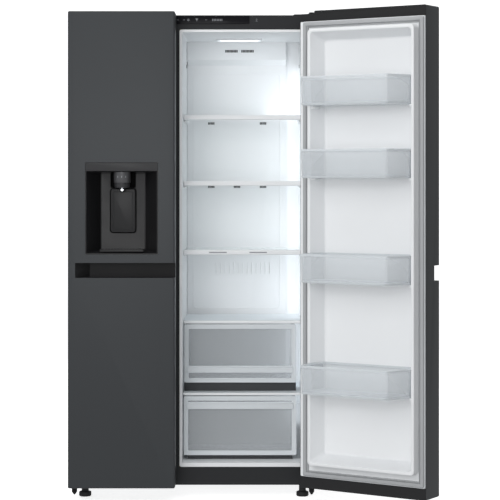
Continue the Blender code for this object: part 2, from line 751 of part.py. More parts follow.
def make_crisper(name, front, length, base, height, anchor):
    """A clear drawer, open on top, a little narrower and shorter at its floor."""
    left = FRESH_LEFT + CRISPER_FREE_GAP
    right = FRESH_RIGHT - CRISPER_HINGE_GAP
    top_area = (left, right, front, front + length)
    back = front + length
    base_area = (left + CRISPER_TAPER, right - CRISPER_TAPER, front + CRISPER_TAPER / 2, back - CRISPER_TAPER)
    shape = tub(base_area, top_area, CRISPER_WALL, base, base + height, TUB_CORNER)
    add(name, shape, "clear_plastic", anchor)


# ---- Freezer inside ----
def make_freezer_inside(case):
    left = FREEZER_LEFT + SHELF_SIDE_GAP
    right = FREEZER_RIGHT - SHELF_SIDE_GAP
    for number, top in enumerate(FREEZER_SHELF_TOPS, 1):
        area = (left, right, SHELF_FRONT, SHELF_BACK)
        sections = (
            (rect(*grown(area, -SOFT_EDGE), PLATE_CORNER), top - FREEZER_SHELF_THICKNESS),
            (rect(*area, PLATE_CORNER), top - FREEZER_SHELF_THICKNESS + SOFT_EDGE),
            (rect(*area, PLATE_CORNER), top),
        )
        add(f"freezer_shelf_{number}", stack(sections, "Z"), "clear_plastic", case)
    for name, front, length, base, height in (
        ("freezer_basket", SHELF_FRONT, BASKET_LENGTH, BASKET_BASE, BASKET_HEIGHT),
        ("ice_maker", SHELF_FRONT, ICE_BUCKET_LENGTH, ICE_BUCKET_BASE, ICE_BUCKET_HEIGHT),
    ):
        area = (left + TUB_SIDE_GAP, right - TUB_SIDE_GAP, front, front + length)
        shape = tub(grown(area, -CRISPER_TAPER), area, TUB_WALL, base, base + height, TUB_CORNER)
        add(name, shape, "clear_plastic", case)


def comb(low_a, high_a, front, back, count):
    """A row of thin fins along A, all standing on one spine at the back."""
    pitch = (high_a - low_a - FIN_SHEET) / (count - 1)
    outline = [(high_a, back), (low_a, back)]
    for number in range(count):
        start = low_a + pitch * number
        outline += [(start, front), (start + FIN_SHEET, front)]
        if number < count - 1:
            outline += [(start + FIN_SHEET, back - FIN_SPINE), (start + pitch, back - FIN_SPINE)]
    return outline


def make_cooling(case):
    """Evaporator behind the freezer's goods, condenser and compressor in the machine space."""
    left = FREEZER_LEFT + LINER_CORNER
    right = FREEZER_RIGHT - LINER_CORNER
    back = COMPARTMENT_BACK - FIT
    outline = comb(left, right, back - EVAPORATOR_DEPTH, back, FIN_COUNT)
    top = EVAPORATOR_BASE + EVAPORATOR_HEIGHT
    add("evaporator", prism(outline, "Z", EVAPORATOR_BASE, top), "bare_aluminium", case)
    left = FAN_X - FAN_MOTOR_LENGTH - FAN_HUB_LENGTH - CONDENSER_LENGTH
    front = MACHINE_MIDDLE - CONDENSER_DEPTH / 2
    outline = comb(left, left + CONDENSER_LENGTH, front, front + CONDENSER_DEPTH, FIN_COUNT)
    base = FOAM_BASE
    add("condenser", prism(outline, "Z", base, base + CONDENSER_HEIGHT), "black_enamel", case)
    levels = ((0.80, 0.0), (1.0, 0.12), (1.0, 0.62), (0.92, 0.82), (0.62, 0.96), (0.25, 1.0))
    sections = [
        (circle(COMPRESSOR_X, MACHINE_MIDDLE, COMPRESSOR_RADIUS * width), base + COMPRESSOR_HEIGHT * level)
        for width, level in levels
    ]
    add("compressor", stack(sections, "Z"), "black_enamel", case)


def fan_centre():
    return Vector((FAN_X, MACHINE_MIDDLE, BASE_PLATE_TOP + FAN_RADIUS + FAN_LIFT))


def make_fan(anchor):
    """A hub with pitched blades round its axle."""
    centre = fan_centre()
    half = FAN_HUB_LENGTH / 2
    bore = FAN_AXLE_RADIUS + AXLE_CLEARANCE
    levels = ((bore, -half), (FAN_HUB_RADIUS, -half), (FAN_HUB_RADIUS, half), (bore, half))
    sections = [(circle(centre.y, centre.z, radius, 20), centre.x + level) for radius, level in levels]
    fan = add("condenser_fan", stack(sections, "X", ring=True), "black_plastic", anchor, centre)
    start = FAN_HUB_RADIUS - BITE
    for number in range(FAN_BLADES):
        blade = box(
            (-FAN_BLADE_SHEET / 2, -FAN_BLADE_CHORD / 2, start),
            (FAN_BLADE_SHEET / 2, FAN_BLADE_CHORD / 2, FAN_RADIUS),
        )
        pitch = Matrix.Rotation(math.radians(FAN_BLADE_PITCH), 4, "Z")
        turn = Matrix.Rotation(2 * math.pi * number / FAN_BLADES, 4, "X")
        bmesh.ops.transform(blade, matrix=Matrix.Translation(centre) @ turn @ pitch, verts=blade.verts)
        combine(fan, tool(f"fan_blade_{number}", blade, anchor), "UNION")


# ---- Base ----
def roller_centres():
    back = OVERALL_DEPTH - ROLLER_FROM_BACK
    for name, sign in (("left", -1), ("right", 1)):
        yield name, Vector((sign * (CASE_HALF - ROLLER_INSET), back, ROLLER_RADIUS))


def make_base_pan(case):
    """The floor plate, with the fan's motor stand on top and the rear rollers' forks below."""
    plate_base = CASE_BASE + BASE_SHEET
    pan = add(
        "base_pan",
        box((-INSIDE_HALF, BODY_FRONT, plate_base), (INSIDE_HALF, BODY_BACK, BASE_PLATE_TOP)),
        "zinc_steel",
        case,
    )
    centre = fan_centre()
    motor_front = centre.x + FAN_HUB_LENGTH / 2 + FAN_MOTOR_GAP
    motor_back = motor_front + FAN_MOTOR_LENGTH
    stand_front = motor_front + FAN_MOTOR_LENGTH / 3
    stand = box(
        (stand_front, centre.y - STAND_HALF, plate_base + BITE),
        (stand_front + STAND_SHEET, centre.y + STAND_HALF, centre.z),
    )
    combine(pan, tool("motor_stand", stand, case), "UNION")
    sections = (
        (circle(centre.y, centre.z, FAN_AXLE_RADIUS, 16), centre.x - FAN_HUB_LENGTH / 2),
        (circle(centre.y, centre.z, FAN_AXLE_RADIUS, 16), motor_front),
        (circle(centre.y, centre.z, FAN_MOTOR_RADIUS, 16), motor_front),
        (circle(centre.y, centre.z, FAN_MOTOR_RADIUS, 16), motor_back),
    )
    combine(pan, tool("fan_motor", stack(sections, "X"), case), "UNION")
    for name, hub in roller_centres():
        gap = ROLLER_WIDTH / 2 + CHEEK_GAP
        for side in (-1, 1):
            near = hub.x + side * gap
            far = near + side * CHEEK_SHEET
            cheek = box(
                (min(near, far), hub.y - CHEEK_HALF, hub.z - CHEEK_DROP),
                (max(near, far), hub.y + CHEEK_HALF, plate_base + BITE),
            )
            combine(pan, tool(f"roller_cheek_{name}_{side}", cheek, case), "UNION")
        reach = gap + CHEEK_SHEET - BITE / 2
        axle = prism(circle(hub.y, hub.z, AXLE_RADIUS, 16), "X", hub.x - reach, hub.x + reach)
        combine(pan, tool(f"roller_axle_{name}", axle, case), "UNION")


def make_rollers(anchors):
    for name, hub in roller_centres():
        half = ROLLER_WIDTH / 2
        bore = AXLE_RADIUS + AXLE_CLEARANCE
        profile = (
            (bore, -half),
            (ROLLER_RADIUS - SOFT_EDGE, -half),
            (ROLLER_RADIUS, -half + SOFT_EDGE),
            (ROLLER_RADIUS, half - SOFT_EDGE),
            (ROLLER_RADIUS - SOFT_EDGE, half),
            (bore, half),
        )
        sections = [(circle(hub.y, hub.z, radius, 32), hub.x + level) for radius, level in profile]
        add(f"rear_roller_{name}", stack(sections, "X", ring=True), "black_plastic", anchors[name], hub)


def make_feet(case):
    for name, sign in (("left", -1), ("right", 1)):
        centre = sign * (CASE_HALF - FOOT_INSET)
        profile = (
            (FOOT_RADIUS - SOFT_EDGE, 0.0),
            (FOOT_RADIUS, SOFT_EDGE),
            (FOOT_RADIUS, FOOT_HEIGHT - SOFT_EDGE),
            (FOOT_RADIUS - SOFT_EDGE * 2, FOOT_HEIGHT),
            (FOOT_STEM, FOOT_HEIGHT + SOFT_EDGE * 2),
            (FOOT_STEM, CASE_BASE + BASE_SHEET - FIT),
        )
        sections = [(circle(centre, FOOT_DEPTH, radius), level) for radius, level in profile]
        add(f"front_foot_{name}", stack(sections, "Z"), "black_plastic", case)


def make_machine_cover(case):
    """The slotted rear cover of the machine space, with the power inlet's socket box."""
    low = (-INSIDE_HALF, PANEL_FRONT, CASE_BASE)
    high = (INSIDE_HALF, PANEL_FRONT + COVER_SHEET, MACHINE_TOP)
    cover = add("machine_cover", box(low, high), "zinc_steel", case)
    middle_z = (CASE_BASE + MACHINE_TOP) / 2
    for number in range(COVER_SLOTS):
        centre = -CASE_HALF / 2 + (number - (COVER_SLOTS - 1) / 2) * SLOT_WIDTH * 4
        slot = box(
            (centre - SLOT_WIDTH / 2, PANEL_FRONT - PAST, middle_z - SLOT_HEIGHT / 2),
            (centre + SLOT_WIDTH / 2, PANEL_FRONT + PAST, middle_z + SLOT_HEIGHT / 2),
        )
        combine(cover, tool(f"cover_slot_{number}", slot, case))
    centre_x = CASE_HALF * 0.7
    area = (
        centre_x - INLET_WIDTH / 2,
        centre_x + INLET_WIDTH / 2,
        middle_z - INLET_HEIGHT / 2,
        middle_z + INLET_HEIGHT / 2,
    )
    back = PANEL_FRONT + COVER_SHEET / 2
    front = back - INLET_DEPTH
    outside = prism(rect(*area, INLET_CORNER), "Y", front, back)
    combine(cover, tool("inlet_box", outside, case), "UNION")
    socket = grown(area, -INLET_WALL)
    hollow = prism(rect(*socket, INLET_CORNER - BITE), "Y", front + INLET_WALL, OVERALL_DEPTH + PAST)
    combine(cover, tool("inlet_hollow", hollow, case))


# ---- Hinges ----
def make_hinges(case):
    """Top and bottom hinge for each door: an arm off the case that carries the door's pin."""
    for name, side in (("left", FREEZER), ("right", FRESH)):
        hinge = side.hinge
        arm = (
            hinge.x - HINGE_ARM_HALF,
            hinge.x + HINGE_ARM_HALF,
            hinge.y - HINGE_ARM_HALF,
            CASE_FRONT + HINGE_ARM_REACH,
        )
        top_base = CASE_TOP + FIT
        pin_tip = DOOR_TOP - NOTCH_DEPTH - PIN_REACH
        profile = (
            (PIN_RADIUS - PIN_CHAMFER, pin_tip),
            (PIN_RADIUS, pin_tip + PIN_CHAMFER),
            (PIN_RADIUS, top_base + HINGE_PLATE / 2),
        )
        sections = [(circle(hinge.x, hinge.y, radius, 20), level) for radius, level in profile]
        plate = prism(rect(*arm, HINGE_ARM_HALF), "Z", top_base, top_base + HINGE_PLATE)
        top = add(f"top_hinge_{name}", plate, "black_enamel", case)
        combine(top, tool(f"top_pin_{name}", stack(sections, "Z"), case), "UNION")
        plate_top = CASE_BASE - FIT
        plate_base = plate_top - HINGE_PLATE
        nut_tip = plate_base - NUT_DROP
        profile = (
            (NUT_RADIUS * 0.25, nut_tip),
            (NUT_RADIUS, nut_tip + NUT_DROP * 0.55),
            (NUT_RADIUS, plate_base + BITE),
            (PIN_RADIUS, plate_base + BITE),
            (PIN_RADIUS, DOOR_BASE + PIN_REACH - PIN_CHAMFER),
            (PIN_RADIUS - PIN_CHAMFER, DOOR_BASE + PIN_REACH),
        )
        sections = [(circle(hinge.x, hinge.y, radius, 20), level) for radius, level in profile]
        plate = prism(rect(*arm, HINGE_ARM_HALF), "Z", plate_base, plate_top)
        bottom = add(f"bottom_hinge_{name}", plate, "black_enamel", case)
        combine(bottom, tool(f"bottom_pin_{name}", stack(sections, "Z"), case), "UNION")


# ---- Doors ----
def door_area(side):
    low_x, high_x = side.span(0.0, 0.0)
    return low_x, high_x, DOOR_BASE, DOOR_TOP


def window_area(side, inset):
    """The opening at the back of the door's shell, between its top and bottom bands."""
    low_x, high_x = side.span(inset + DOOR_LIP, inset + DOOR_LIP)
    return low_x, high_x, DOOR_BASE + BASE_BAND + inset - DOOR_SKIN, DOOR_TOP - TOP_BAND - inset + DOOR_SKIN


def pocket_shape(side, wall):
    """The handle pocket's space: open at the free edge, with a ramp at the hinge end. A wall grows it."""
    free = side.free_edge - side.sign * PAST
    hinge_end = side.hinge_edge - side.sign * (POCKET_HINGE_INSET - wall * 2)
    slope = POCKET_RAMP / POCKET_DEPTH
    depth = POCKET_DEPTH + wall
    front = -PAST
    outline = (
        (free, front),
        (hinge_end - side.sign * slope * front, front),
        (hinge_end - side.sign * slope * depth, depth),
        (free, depth),
    )
    if side.sign < 0:
        outline = outline[::-1]
    return prism(outline, "Z", POCKET_BASE - wall, POCKET_BASE + POCKET_HEIGHT + wall)


def notch_shape(side, wall):
    """The step in the door's top that the hinge arm turns in."""
    near = side.hinge.x - side.sign * (NOTCH_REACH + wall)
    far = side.hinge_edge + side.sign * PAST
    low = (min(near, far), NOTCH_LIP - wall, DOOR_TOP - NOTCH_DEPTH - wall)
    high = (max(near, far), DOOR_THICKNESS + PAST, DOOR_TOP + PAST)
    return box(low, high)


def dispenser_cutout(wall):
    half = DISPENSER_WIDTH / 2 + DISPENSER_FLANGE + FIT + wall
    low = (DISPENSER_X - half, -PAST, DISPENSER_BASE - DISPENSER_FLANGE - FIT - wall)
    high = (
        DISPENSER_X + half,
        DISPENSER_DEPTH + DISPENSER_SHEET + FIT + wall,
        DISPENSER_TOP + HEADER_HEIGHT + FIT + wall,
    )
    return box(low, high)


def pin_hole(side):
    radius = PIN_RADIUS + PIN_CLEARANCE
    return prism(circle(side.hinge.x, side.hinge.y, radius, 20), "Z", DOOR_BASE - PAST, DOOR_TOP + PAST)


def make_door_shell(name, side, anchor, has_dispenser):
    """A folded steel pan with softly rounded front edges, open at the back between its end bands."""
    area = door_area(side)
    sections = (
        (rect(*grown(area, -DOOR_EDGE), DOOR_CORNER), 0.0),
        (rect(*grown(area, -DOOR_EDGE * ROUND_SHARE), DOOR_CORNER), DOOR_EDGE * ROUND_SHARE),
        (rect(*area, DOOR_CORNER), DOOR_EDGE),
        (rect(*area, DOOR_CORNER), DOOR_THICKNESS),
    )
    shell = add(f"{name}_shell", stack(sections, "Y"), "black_steel", anchor)
    inside = grown(area, -DOOR_SKIN)
    window = window_area(side, DOOR_SKIN)
    corner = DOOR_CORNER - DOOR_SKIN
    front_inside = grown(area, -DOOR_EDGE * ROUND_SHARE - DOOR_SKIN * 1.5)
    cavity_sections = (
        (rect(*front_inside, corner), DOOR_SKIN),
        (rect(*inside, corner), DOOR_EDGE + DOOR_SKIN),
        (rect(*inside, corner), DOOR_THICKNESS - DOOR_SKIN),
        (rect(*window, corner), DOOR_THICKNESS - DOOR_SKIN),
        (rect(*window, corner), DOOR_THICKNESS + PAST),
    )
    cavity = tool(f"{name}_cavity", stack(cavity_sections, "Y"), anchor)
    combine(cavity, tool(f"{name}_pocket_wall", pocket_shape(side, DOOR_SKIN), anchor))
    combine(cavity, tool(f"{name}_notch_wall", notch_shape(side, DOOR_SKIN), anchor))
    combine(shell, cavity)
    combine(shell, tool(f"{name}_pocket", pocket_shape(side, 0.0), anchor))
    combine(shell, tool(f"{name}_notch", notch_shape(side, 0.0), anchor))
    combine(shell, tool(f"{name}_pin_hole", pin_hole(side), anchor))
    if has_dispenser:
        combine(shell, tool(f"{name}_front_cutout", dispenser_cutout(0.0), anchor))


def make_door_foam(name, side, anchor, has_dispenser):
    """The foam slab behind the door's skin."""
    low_x, high_x = side.span(DOOR_SKIN + DOOR_EDGE, DOOR_SKIN + DOOR_EDGE)
    end_gap = PIN_REACH + NOTCH_DEPTH + FOAM_END_GAP
    back = DYKE_TOP - side.recess_depth - LINER_SHEET - FIT
    low = (low_x, DOOR_SKIN + FIT, DOOR_BASE + end_gap)
    high = (high_x, back, DOOR_TOP - end_gap)
    foam = add(f"{name}_foam", box(low, high), "foam", anchor)
    combine(foam, tool(f"{name}_foam_pocket", pocket_shape(side, DOOR_SKIN + FIT * 2), anchor))
    if has_dispenser:
        combine(foam, tool(f"{name}_foam_cutout", dispenser_cutout(FIT), anchor))


def dyke_area(side, inset):
    """The raised wall's rectangle on the door's liner, counted inwards from its outer face."""
    low_x, high_x = side.span(side.dyke_free_inset, DYKE_HINGE_INSET)
    outer = (low_x, high_x, DOOR_BASE + DYKE_BASE_INSET, DOOR_TOP - DYKE_TOP_INSET)
    return grown(outer, -inset)


def sloped(area, side):
    """The recess floor's rectangle: most of its slope is on the hinge side, the top and the bottom."""
    low_x, high_x, low_z, high_z = area
    if side.sign > 0:
        low_x, high_x = low_x + RECESS_SLOPE_FREE, high_x - RECESS_SLOPE
    else:
        low_x, high_x = low_x + RECESS_SLOPE, high_x - RECESS_SLOPE_FREE
    return low_x, high_x, low_z + RECESS_SLOPE, high_z - RECESS_SLOPE


def make_door_liner(name, side, anchor):
    """The formed inner panel: flange, raised wall all round and the recess that the bins sit in."""
    top = DYKE_TOP
    face = DOOR_THICKNESS - FIT
    back = face - LINER_SHEET
    floor = top - side.recess_depth
    flange = window_area(side, DOOR_SKIN + FIT)
    inner = dyke_area(side, DYKE_TOP_WIDTH)
    inner_back = dyke_area(side, DYKE_TOP_WIDTH - LINER_SHEET)
    hollow = dyke_area(side, LINER_SHEET)
    round_off = DYKE_EDGE / 3
    sections = (
        (rect(*sloped(inner, side), DYKE_CORNER * 0.62, 4), floor),
        (rect(*inner, DYKE_CORNER * 0.75, 4), top - DYKE_EDGE / 2),
        (rect(*grown(inner, round_off), DYKE_CORNER * 0.82, 4), top),
        (rect(*dyke_area(side, DYKE_EDGE), DYKE_CORNER - SOFT_EDGE, 4), top),
        (rect(*dyke_area(side, round_off), DYKE_CORNER, 4), top - round_off),
        (rect(*dyke_area(side, 0.0), DYKE_CORNER, 4), top - DYKE_EDGE),
        (rect(*dyke_area(side, 0.0), DYKE_CORNER, 4), face),
        (rect(*flange, DOOR_CORNER - DOOR_SKIN, 4), face),
        (rect(*flange, DOOR_CORNER - DOOR_SKIN, 4), back),
        (rect(*hollow, DYKE_CORNER - SOFT_EDGE, 4), back),
        (rect(*hollow, DYKE_CORNER - SOFT_EDGE, 4), top - DYKE_EDGE - LINER_SHEET),
        (rect(*inner_back, DYKE_CORNER * 0.82, 4), top - DYKE_EDGE - LINER_SHEET),
        (rect(*sloped(inner_back, side), DYKE_CORNER * 0.68, 4), floor - LINER_SHEET),
    )
    add(f"{name}_liner", stack(sections, "Y"), "white_liner", anchor)


def make_gasket(name, side, anchor):
    """The magnetic seal: a soft ring with a raised lip along its middle."""
    low_x, high_x = side.span(GASKET_FREE_INSET, GASKET_HINGE_INSET)
    outer = (low_x, high_x, DOOR_BASE + BASE_BAND + FIT, DOOR_TOP - TOP_BAND + FIT)
    inner = grown(outer, -GASKET_WIDTH)
    base = DOOR_THICKNESS + FIT
    top = CASE_FRONT - FIT
    lip = GASKET_WIDTH * 0.25
    shoulder = base + (top - base) * 0.45
    sections = (
        (rect(*outer, GASKET_CORNER), base),
        (rect(*outer, GASKET_CORNER), shoulder),
        (rect(*grown(outer, -lip), GASKET_CORNER), top),
        (rect(*grown(inner, lip), GASKET_CORNER / 2), top),
        (rect(*inner, GASKET_CORNER / 2), shoulder),
        (rect(*inner, GASKET_CORNER / 2), base),
    )
    add(f"{name}_gasket", stack(sections, "Y", ring=True), "grey_gasket", anchor)


def bin_corners(side, inset):
    """A door bin's plan: its back sits in the recess, its front narrows, more so at the free end."""
    top = DYKE_TOP
    back = top - side.recess_depth + BIN_GAP + inset
    waist = top + BIN_GAP
    front = top + BIN_REACH - inset
    wide = dyke_area(side, DYKE_TOP_WIDTH)
    narrow = sloped(wide, side)
    gap = BIN_GAP + inset
    free_taper, hinge_taper = BIN_FREE_TAPER, BIN_HINGE_TAPER
    if side.sign < 0:
        free_taper, hinge_taper = hinge_taper, free_taper
    return (
        (narrow[0] + gap, back),
        (narrow[1] - gap, back),
        (wide[1] - gap, waist),
        (wide[1] - hinge_taper - gap, front),
        (wide[0] + free_taper + gap, front),
        (wide[0] + gap, waist),
    )


def make_bin(name, side, base, anchor):
    """A clear door bin, open on top."""
    outer = bin_corners(side, 0.0)
    inner = bin_corners(side, BIN_WALL)
    draught = bin_corners(side, BIN_WALL / 2)
    shape = stack(
        (
            (rounded(draught, BIN_CORNER), base),
            (rounded(outer, BIN_CORNER), base + BIN_HEIGHT),
            (rounded(inner, BIN_CORNER), base + BIN_HEIGHT),
            (rounded(bin_corners(side, BIN_WALL * 1.5), BIN_CORNER), base + BIN_WALL),
        ),
        "Z",
    )
    add(name, shape, "clear_plastic", anchor)


# ---- Dispenser ----
def make_dispenser(anchor, lever_anchor):
    """The tub set in the freezer door's face, with its nozzle, lever and drip tray."""
    half = DISPENSER_WIDTH / 2
    back_half = DISPENSER_BACK_WIDTH / 2
    mouth = (DISPENSER_X - half, DISPENSER_X + half, DISPENSER_BASE, DISPENSER_TOP)
    draught = DISPENSER_FLANGE - BITE
    back_base, back_top = DISPENSER_BASE + draught, DISPENSER_TOP - draught
    back = (DISPENSER_X - back_half, DISPENSER_X + back_half, back_base, back_top)
    flange_low_x, flange_high_x, flange_base, _ = grown(mouth, DISPENSER_FLANGE)
    flange = (flange_low_x, flange_high_x, flange_base, DISPENSER_TOP + HEADER_HEIGHT)
    sheet = DISPENSER_SHEET
    depth = DISPENSER_DEPTH
    face = DISPENSER_SET_BACK
    sections = (
        (rect(*back, DISPENSER_FLANGE), depth),
        (rect(*mouth, sheet), face),
        (rect(*flange, draught), face),
        (rect(*flange, draught), face + sheet),
        (rect(*grown(mouth, sheet), sheet), face + sheet),
        (rect(*grown(back, sheet), DISPENSER_FLANGE), depth + sheet),
    )
    add("dispenser_housing", stack(sections, "Y"), "black_plastic", anchor)
    profile = (
        (NOZZLE_RADIUS, DISPENSER_TOP - draught - BITE / 2),
        (NOZZLE_RADIUS, DISPENSER_TOP - NOZZLE_DROP * 0.67),
        (NOZZLE_RADIUS * 0.93, DISPENSER_TOP - NOZZLE_DROP * 0.70),
        (NOZZLE_RADIUS * 0.93, DISPENSER_TOP - NOZZLE_DROP + SOFT_EDGE),
        (NOZZLE_RADIUS * 0.86, DISPENSER_TOP - NOZZLE_DROP),
        (SPOUT_RADIUS, DISPENSER_TOP - NOZZLE_DROP - SOFT_EDGE * 2),
        (SPOUT_RADIUS * 0.9, DISPENSER_TOP - NOZZLE_DROP - SPOUT_DROP * 0.7),
        (SPOUT_RADIUS * 0.5, DISPENSER_TOP - NOZZLE_DROP - SPOUT_DROP),
    )
    sections = [(circle(DISPENSER_X, NOZZLE_DEPTH, radius, 28), level) for radius, level in profile]
    add("dispenser_nozzle", stack(sections, "Z"), "nozzle_grey", anchor)
    lever_area = (
        DISPENSER_X - LEVER_WIDTH / 2,
        DISPENSER_X + LEVER_WIDTH / 2,
        LEVER_TOP - LEVER_HEIGHT,
        LEVER_TOP,
    )
    sections = (
        (rect(*grown(lever_area, -SOFT_EDGE), TUB_CORNER), LEVER_DEPTH - LEVER_SHEET),
        (rect(*lever_area, TUB_CORNER), LEVER_DEPTH - LEVER_SHEET + SOFT_EDGE),
        (rect(*lever_area, TUB_CORNER), LEVER_DEPTH),
    )
    pivot = (DISPENSER_X, LEVER_DEPTH, LEVER_TOP)
    add("dispenser_lever", stack(sections, "Y"), "black_plastic", lever_anchor, pivot)
    tray_base = DISPENSER_BASE + TRAY_LIFT
    narrow = DISPENSER_BACK_WIDTH / 2 - TRAY_SIDE_GAP
    area = (DISPENSER_X - narrow, DISPENSER_X + narrow, TRAY_END_GAP, DISPENSER_DEPTH - TRAY_END_GAP)
    shape = tub(grown(area, -TRAY_WALL), area, TRAY_WALL, tray_base, tray_base + TRAY_HEIGHT, PLATE_CORNER)
    add("drip_tray", shape, "black_plastic", anchor)


# ---- Whole object ----
def make_case(root):
    case = empty("case", (0.0, 0.0, 0.0), root)
    make_outer_shell(case)
    make_rear_panel(case)
    make_foam(case)
    make_liner("fresh_food_liner", FRESH_LEFT, FRESH_RIGHT, case)
    make_liner("freezer_liner", FREEZER_LEFT, FREEZER_RIGHT, case)
    make_front_frame(case)
    make_control_panel(case)
    make_air_duct(case)
    make_light_cover(case)
    for number, top in enumerate(SHELF_TOPS, 1):
        make_shelf(number, top, case)
    make_crisper_plates(case)
    make_freezer_inside(case)
    make_cooling(case)
    make_base_pan(case)
    make_feet(case)
    make_machine_cover(case)
    make_hinges(case)
    make_fan(empty("condenser_fan_axle", fan_centre(), root))
    make_rollers({name: empty(f"rear_axle_{name}", hub, root) for name, hub in roller_centres()})
    upper = empty("upper_crisper_slide", (0.0, SHELF_FRONT, UPPER_CRISPER_BASE), root)
    make_crisper(
        "upper_crisper",
        SHELF_FRONT,
        UPPER_CRISPER_LENGTH,
        UPPER_CRISPER_BASE,
        UPPER_CRISPER_HEIGHT,
        upper,
    )
    lower = empty("lower_crisper_slide", (0.0, LOWER_CRISPER_FRONT, LOWER_CRISPER_BASE), root)
    make_crisper(
        "lower_crisper",
        LOWER_CRISPER_FRONT,
        LOWER_CRISPER_LENGTH,
        LOWER_CRISPER_BASE,
        LOWER_CRISPER_HEIGHT,
        lower,
    )


def make_door(name, bin_name, side, bin_bases, root, has_dispenser):
    anchor = empty(f"{name}_hinge", side.hinge, root)
    make_door_shell(name, side, anchor, has_dispenser)
    make_door_foam(name, side, anchor, has_dispenser)
    make_door_liner(name, side, anchor)
    make_gasket(name, side, anchor)
    for number, base in enumerate(bin_bases, 1):
        make_bin(f"{bin_name}_{number}", side, base, anchor)
    return anchor


def world_bounds():
    bpy.context.view_layer.update()
    graph = bpy.context.evaluated_depsgraph_get()
    points = []
    for part in bpy.data.objects:
        if part.type == "MESH" and not part.hide_render:
            solid = part.evaluated_get(graph)
            points += [solid.matrix_world @ v.co for v in solid.data.vertices]
    low = Vector([min(p[k] for p in points) for k in range(3)])
    high = Vector([max(p[k] for p in points) for k in range(3)])
    return low, high


def main():
    clear_scene()
    root = empty("refrigerator", (0.0, 0.0, 0.0))
    make_case(root)
    freezer_anchor = make_door("freezer_door", "freezer_bin", FREEZER, FREEZER_BIN_BASES, root, True)
    lever_place = (DISPENSER_X, LEVER_DEPTH, LEVER_TOP)
    make_dispenser(freezer_anchor, empty("dispenser_lever_pivot", lever_place, root))
    fresh_anchor = make_door("fresh_door", "fresh_bin", FRESH, FRESH_BIN_BASES, root, False)
    fresh_anchor.rotation_euler.z = math.radians(OPEN_ANGLE)
    low, high = world_bounds()
    root.location = (-(low.x + high.x) / 2, -(low.y + high.y) / 2, -low.z)
    bpy.context.view_layer.update()


main()
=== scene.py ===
"""Side by side refrigerator: the finished surfaces, built round the frame of its working parts.

Every shape is drawn with both doors closed, X from the middle of the case, Y back from the closed doors'
faces and Z up from the floor. make() then carries it to its place, turning it with its door if it has one.
"""

import json
import math

import bmesh
import bpy
from mathutils import Matrix, Vector


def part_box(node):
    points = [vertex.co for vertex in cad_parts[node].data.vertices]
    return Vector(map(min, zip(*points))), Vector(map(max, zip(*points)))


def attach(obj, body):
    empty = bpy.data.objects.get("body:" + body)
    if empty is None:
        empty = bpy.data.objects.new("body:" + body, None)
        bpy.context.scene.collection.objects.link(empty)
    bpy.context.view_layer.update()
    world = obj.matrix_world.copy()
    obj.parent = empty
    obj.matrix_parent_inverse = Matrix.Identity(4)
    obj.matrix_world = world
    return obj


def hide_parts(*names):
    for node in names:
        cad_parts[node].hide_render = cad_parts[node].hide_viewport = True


bl_info = {
    "name": "Side by Side Refrigerator",
    "version": (1, 0, 0),
    "blender": (4, 5, 0),
    "location": "3D View > Sidebar > Refrigerator",
    "description": "Builds a side by side refrigerator round its frame",
    "category": "Object",
}

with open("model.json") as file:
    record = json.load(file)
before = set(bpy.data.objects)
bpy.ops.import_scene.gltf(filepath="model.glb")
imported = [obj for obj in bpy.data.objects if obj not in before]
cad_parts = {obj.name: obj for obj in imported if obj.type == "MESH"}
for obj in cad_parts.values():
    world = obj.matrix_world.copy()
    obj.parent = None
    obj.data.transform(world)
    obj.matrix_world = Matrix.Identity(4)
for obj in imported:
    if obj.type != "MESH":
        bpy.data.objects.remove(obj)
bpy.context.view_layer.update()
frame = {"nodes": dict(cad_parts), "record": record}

# ---- Where things are ----
MIDDLE_X = (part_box("outer_shell")[0].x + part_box("outer_shell")[1].x) / 2
FRONT_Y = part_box("freezer_door_shell")[0].y
ORIGIN = Matrix.Translation((MIDDLE_X, FRONT_Y, 0.0))
BODY_OF = {node: body for body, nodes in frame["record"]["behaviour"]["bodies"].items() for node in nodes}


def to_rest(body):
    """The matrix from the drawing's closed doors to where the body stands at rest."""
    for joint in frame["record"]["behaviour"]["joints"]:
        if joint["child"] == body and joint["type"] == "hinge" and joint.get("range_deg", [0])[0] < -45:
            turn = Matrix.Rotation(math.radians(-joint["range_deg"][0]), 4, Vector(joint["axis"]))
            pin = Matrix.Translation(joint["pos_m"])
            return pin @ turn @ pin.inverted() @ ORIGIN
    return ORIGIN.copy()


class Seat:
    """The room that a CAD node takes, with its door closed."""

    def __init__(self, node):
        turn = to_rest(BODY_OF[node]).inverted()
        points = [turn @ v.co for v in frame["nodes"][node].data.vertices]
        self.x0, self.y0, self.z0 = (min(p[k] for p in points) for k in range(3))
        self.x1, self.y1, self.z1 = (max(p[k] for p in points) for k in range(3))
        self.mid_x = (self.x0 + self.x1) / 2
        self.mid_y = (self.y0 + self.y1) / 2
        self.mid_z = (self.z0 + self.z1) / 2

    def front(self):
        """Its limits as seen from the front."""
        return self.x0, self.x1, self.z0, self.z1

    def plan(self):
        """Its limits as seen from above."""
        return self.x0, self.x1, self.y0, self.y1


# ---- Settings a user would change ----
def colour(name, text, value):
    return bpy.props.FloatVectorProperty(
        name=name, description=text, default=value, subtype="COLOR", size=3, min=0.0, max=1.0
    )


def length(name, text, value):
    return bpy.props.FloatProperty(
        name=name, description=text, default=value, unit="LENGTH", subtype="DISTANCE"
    )


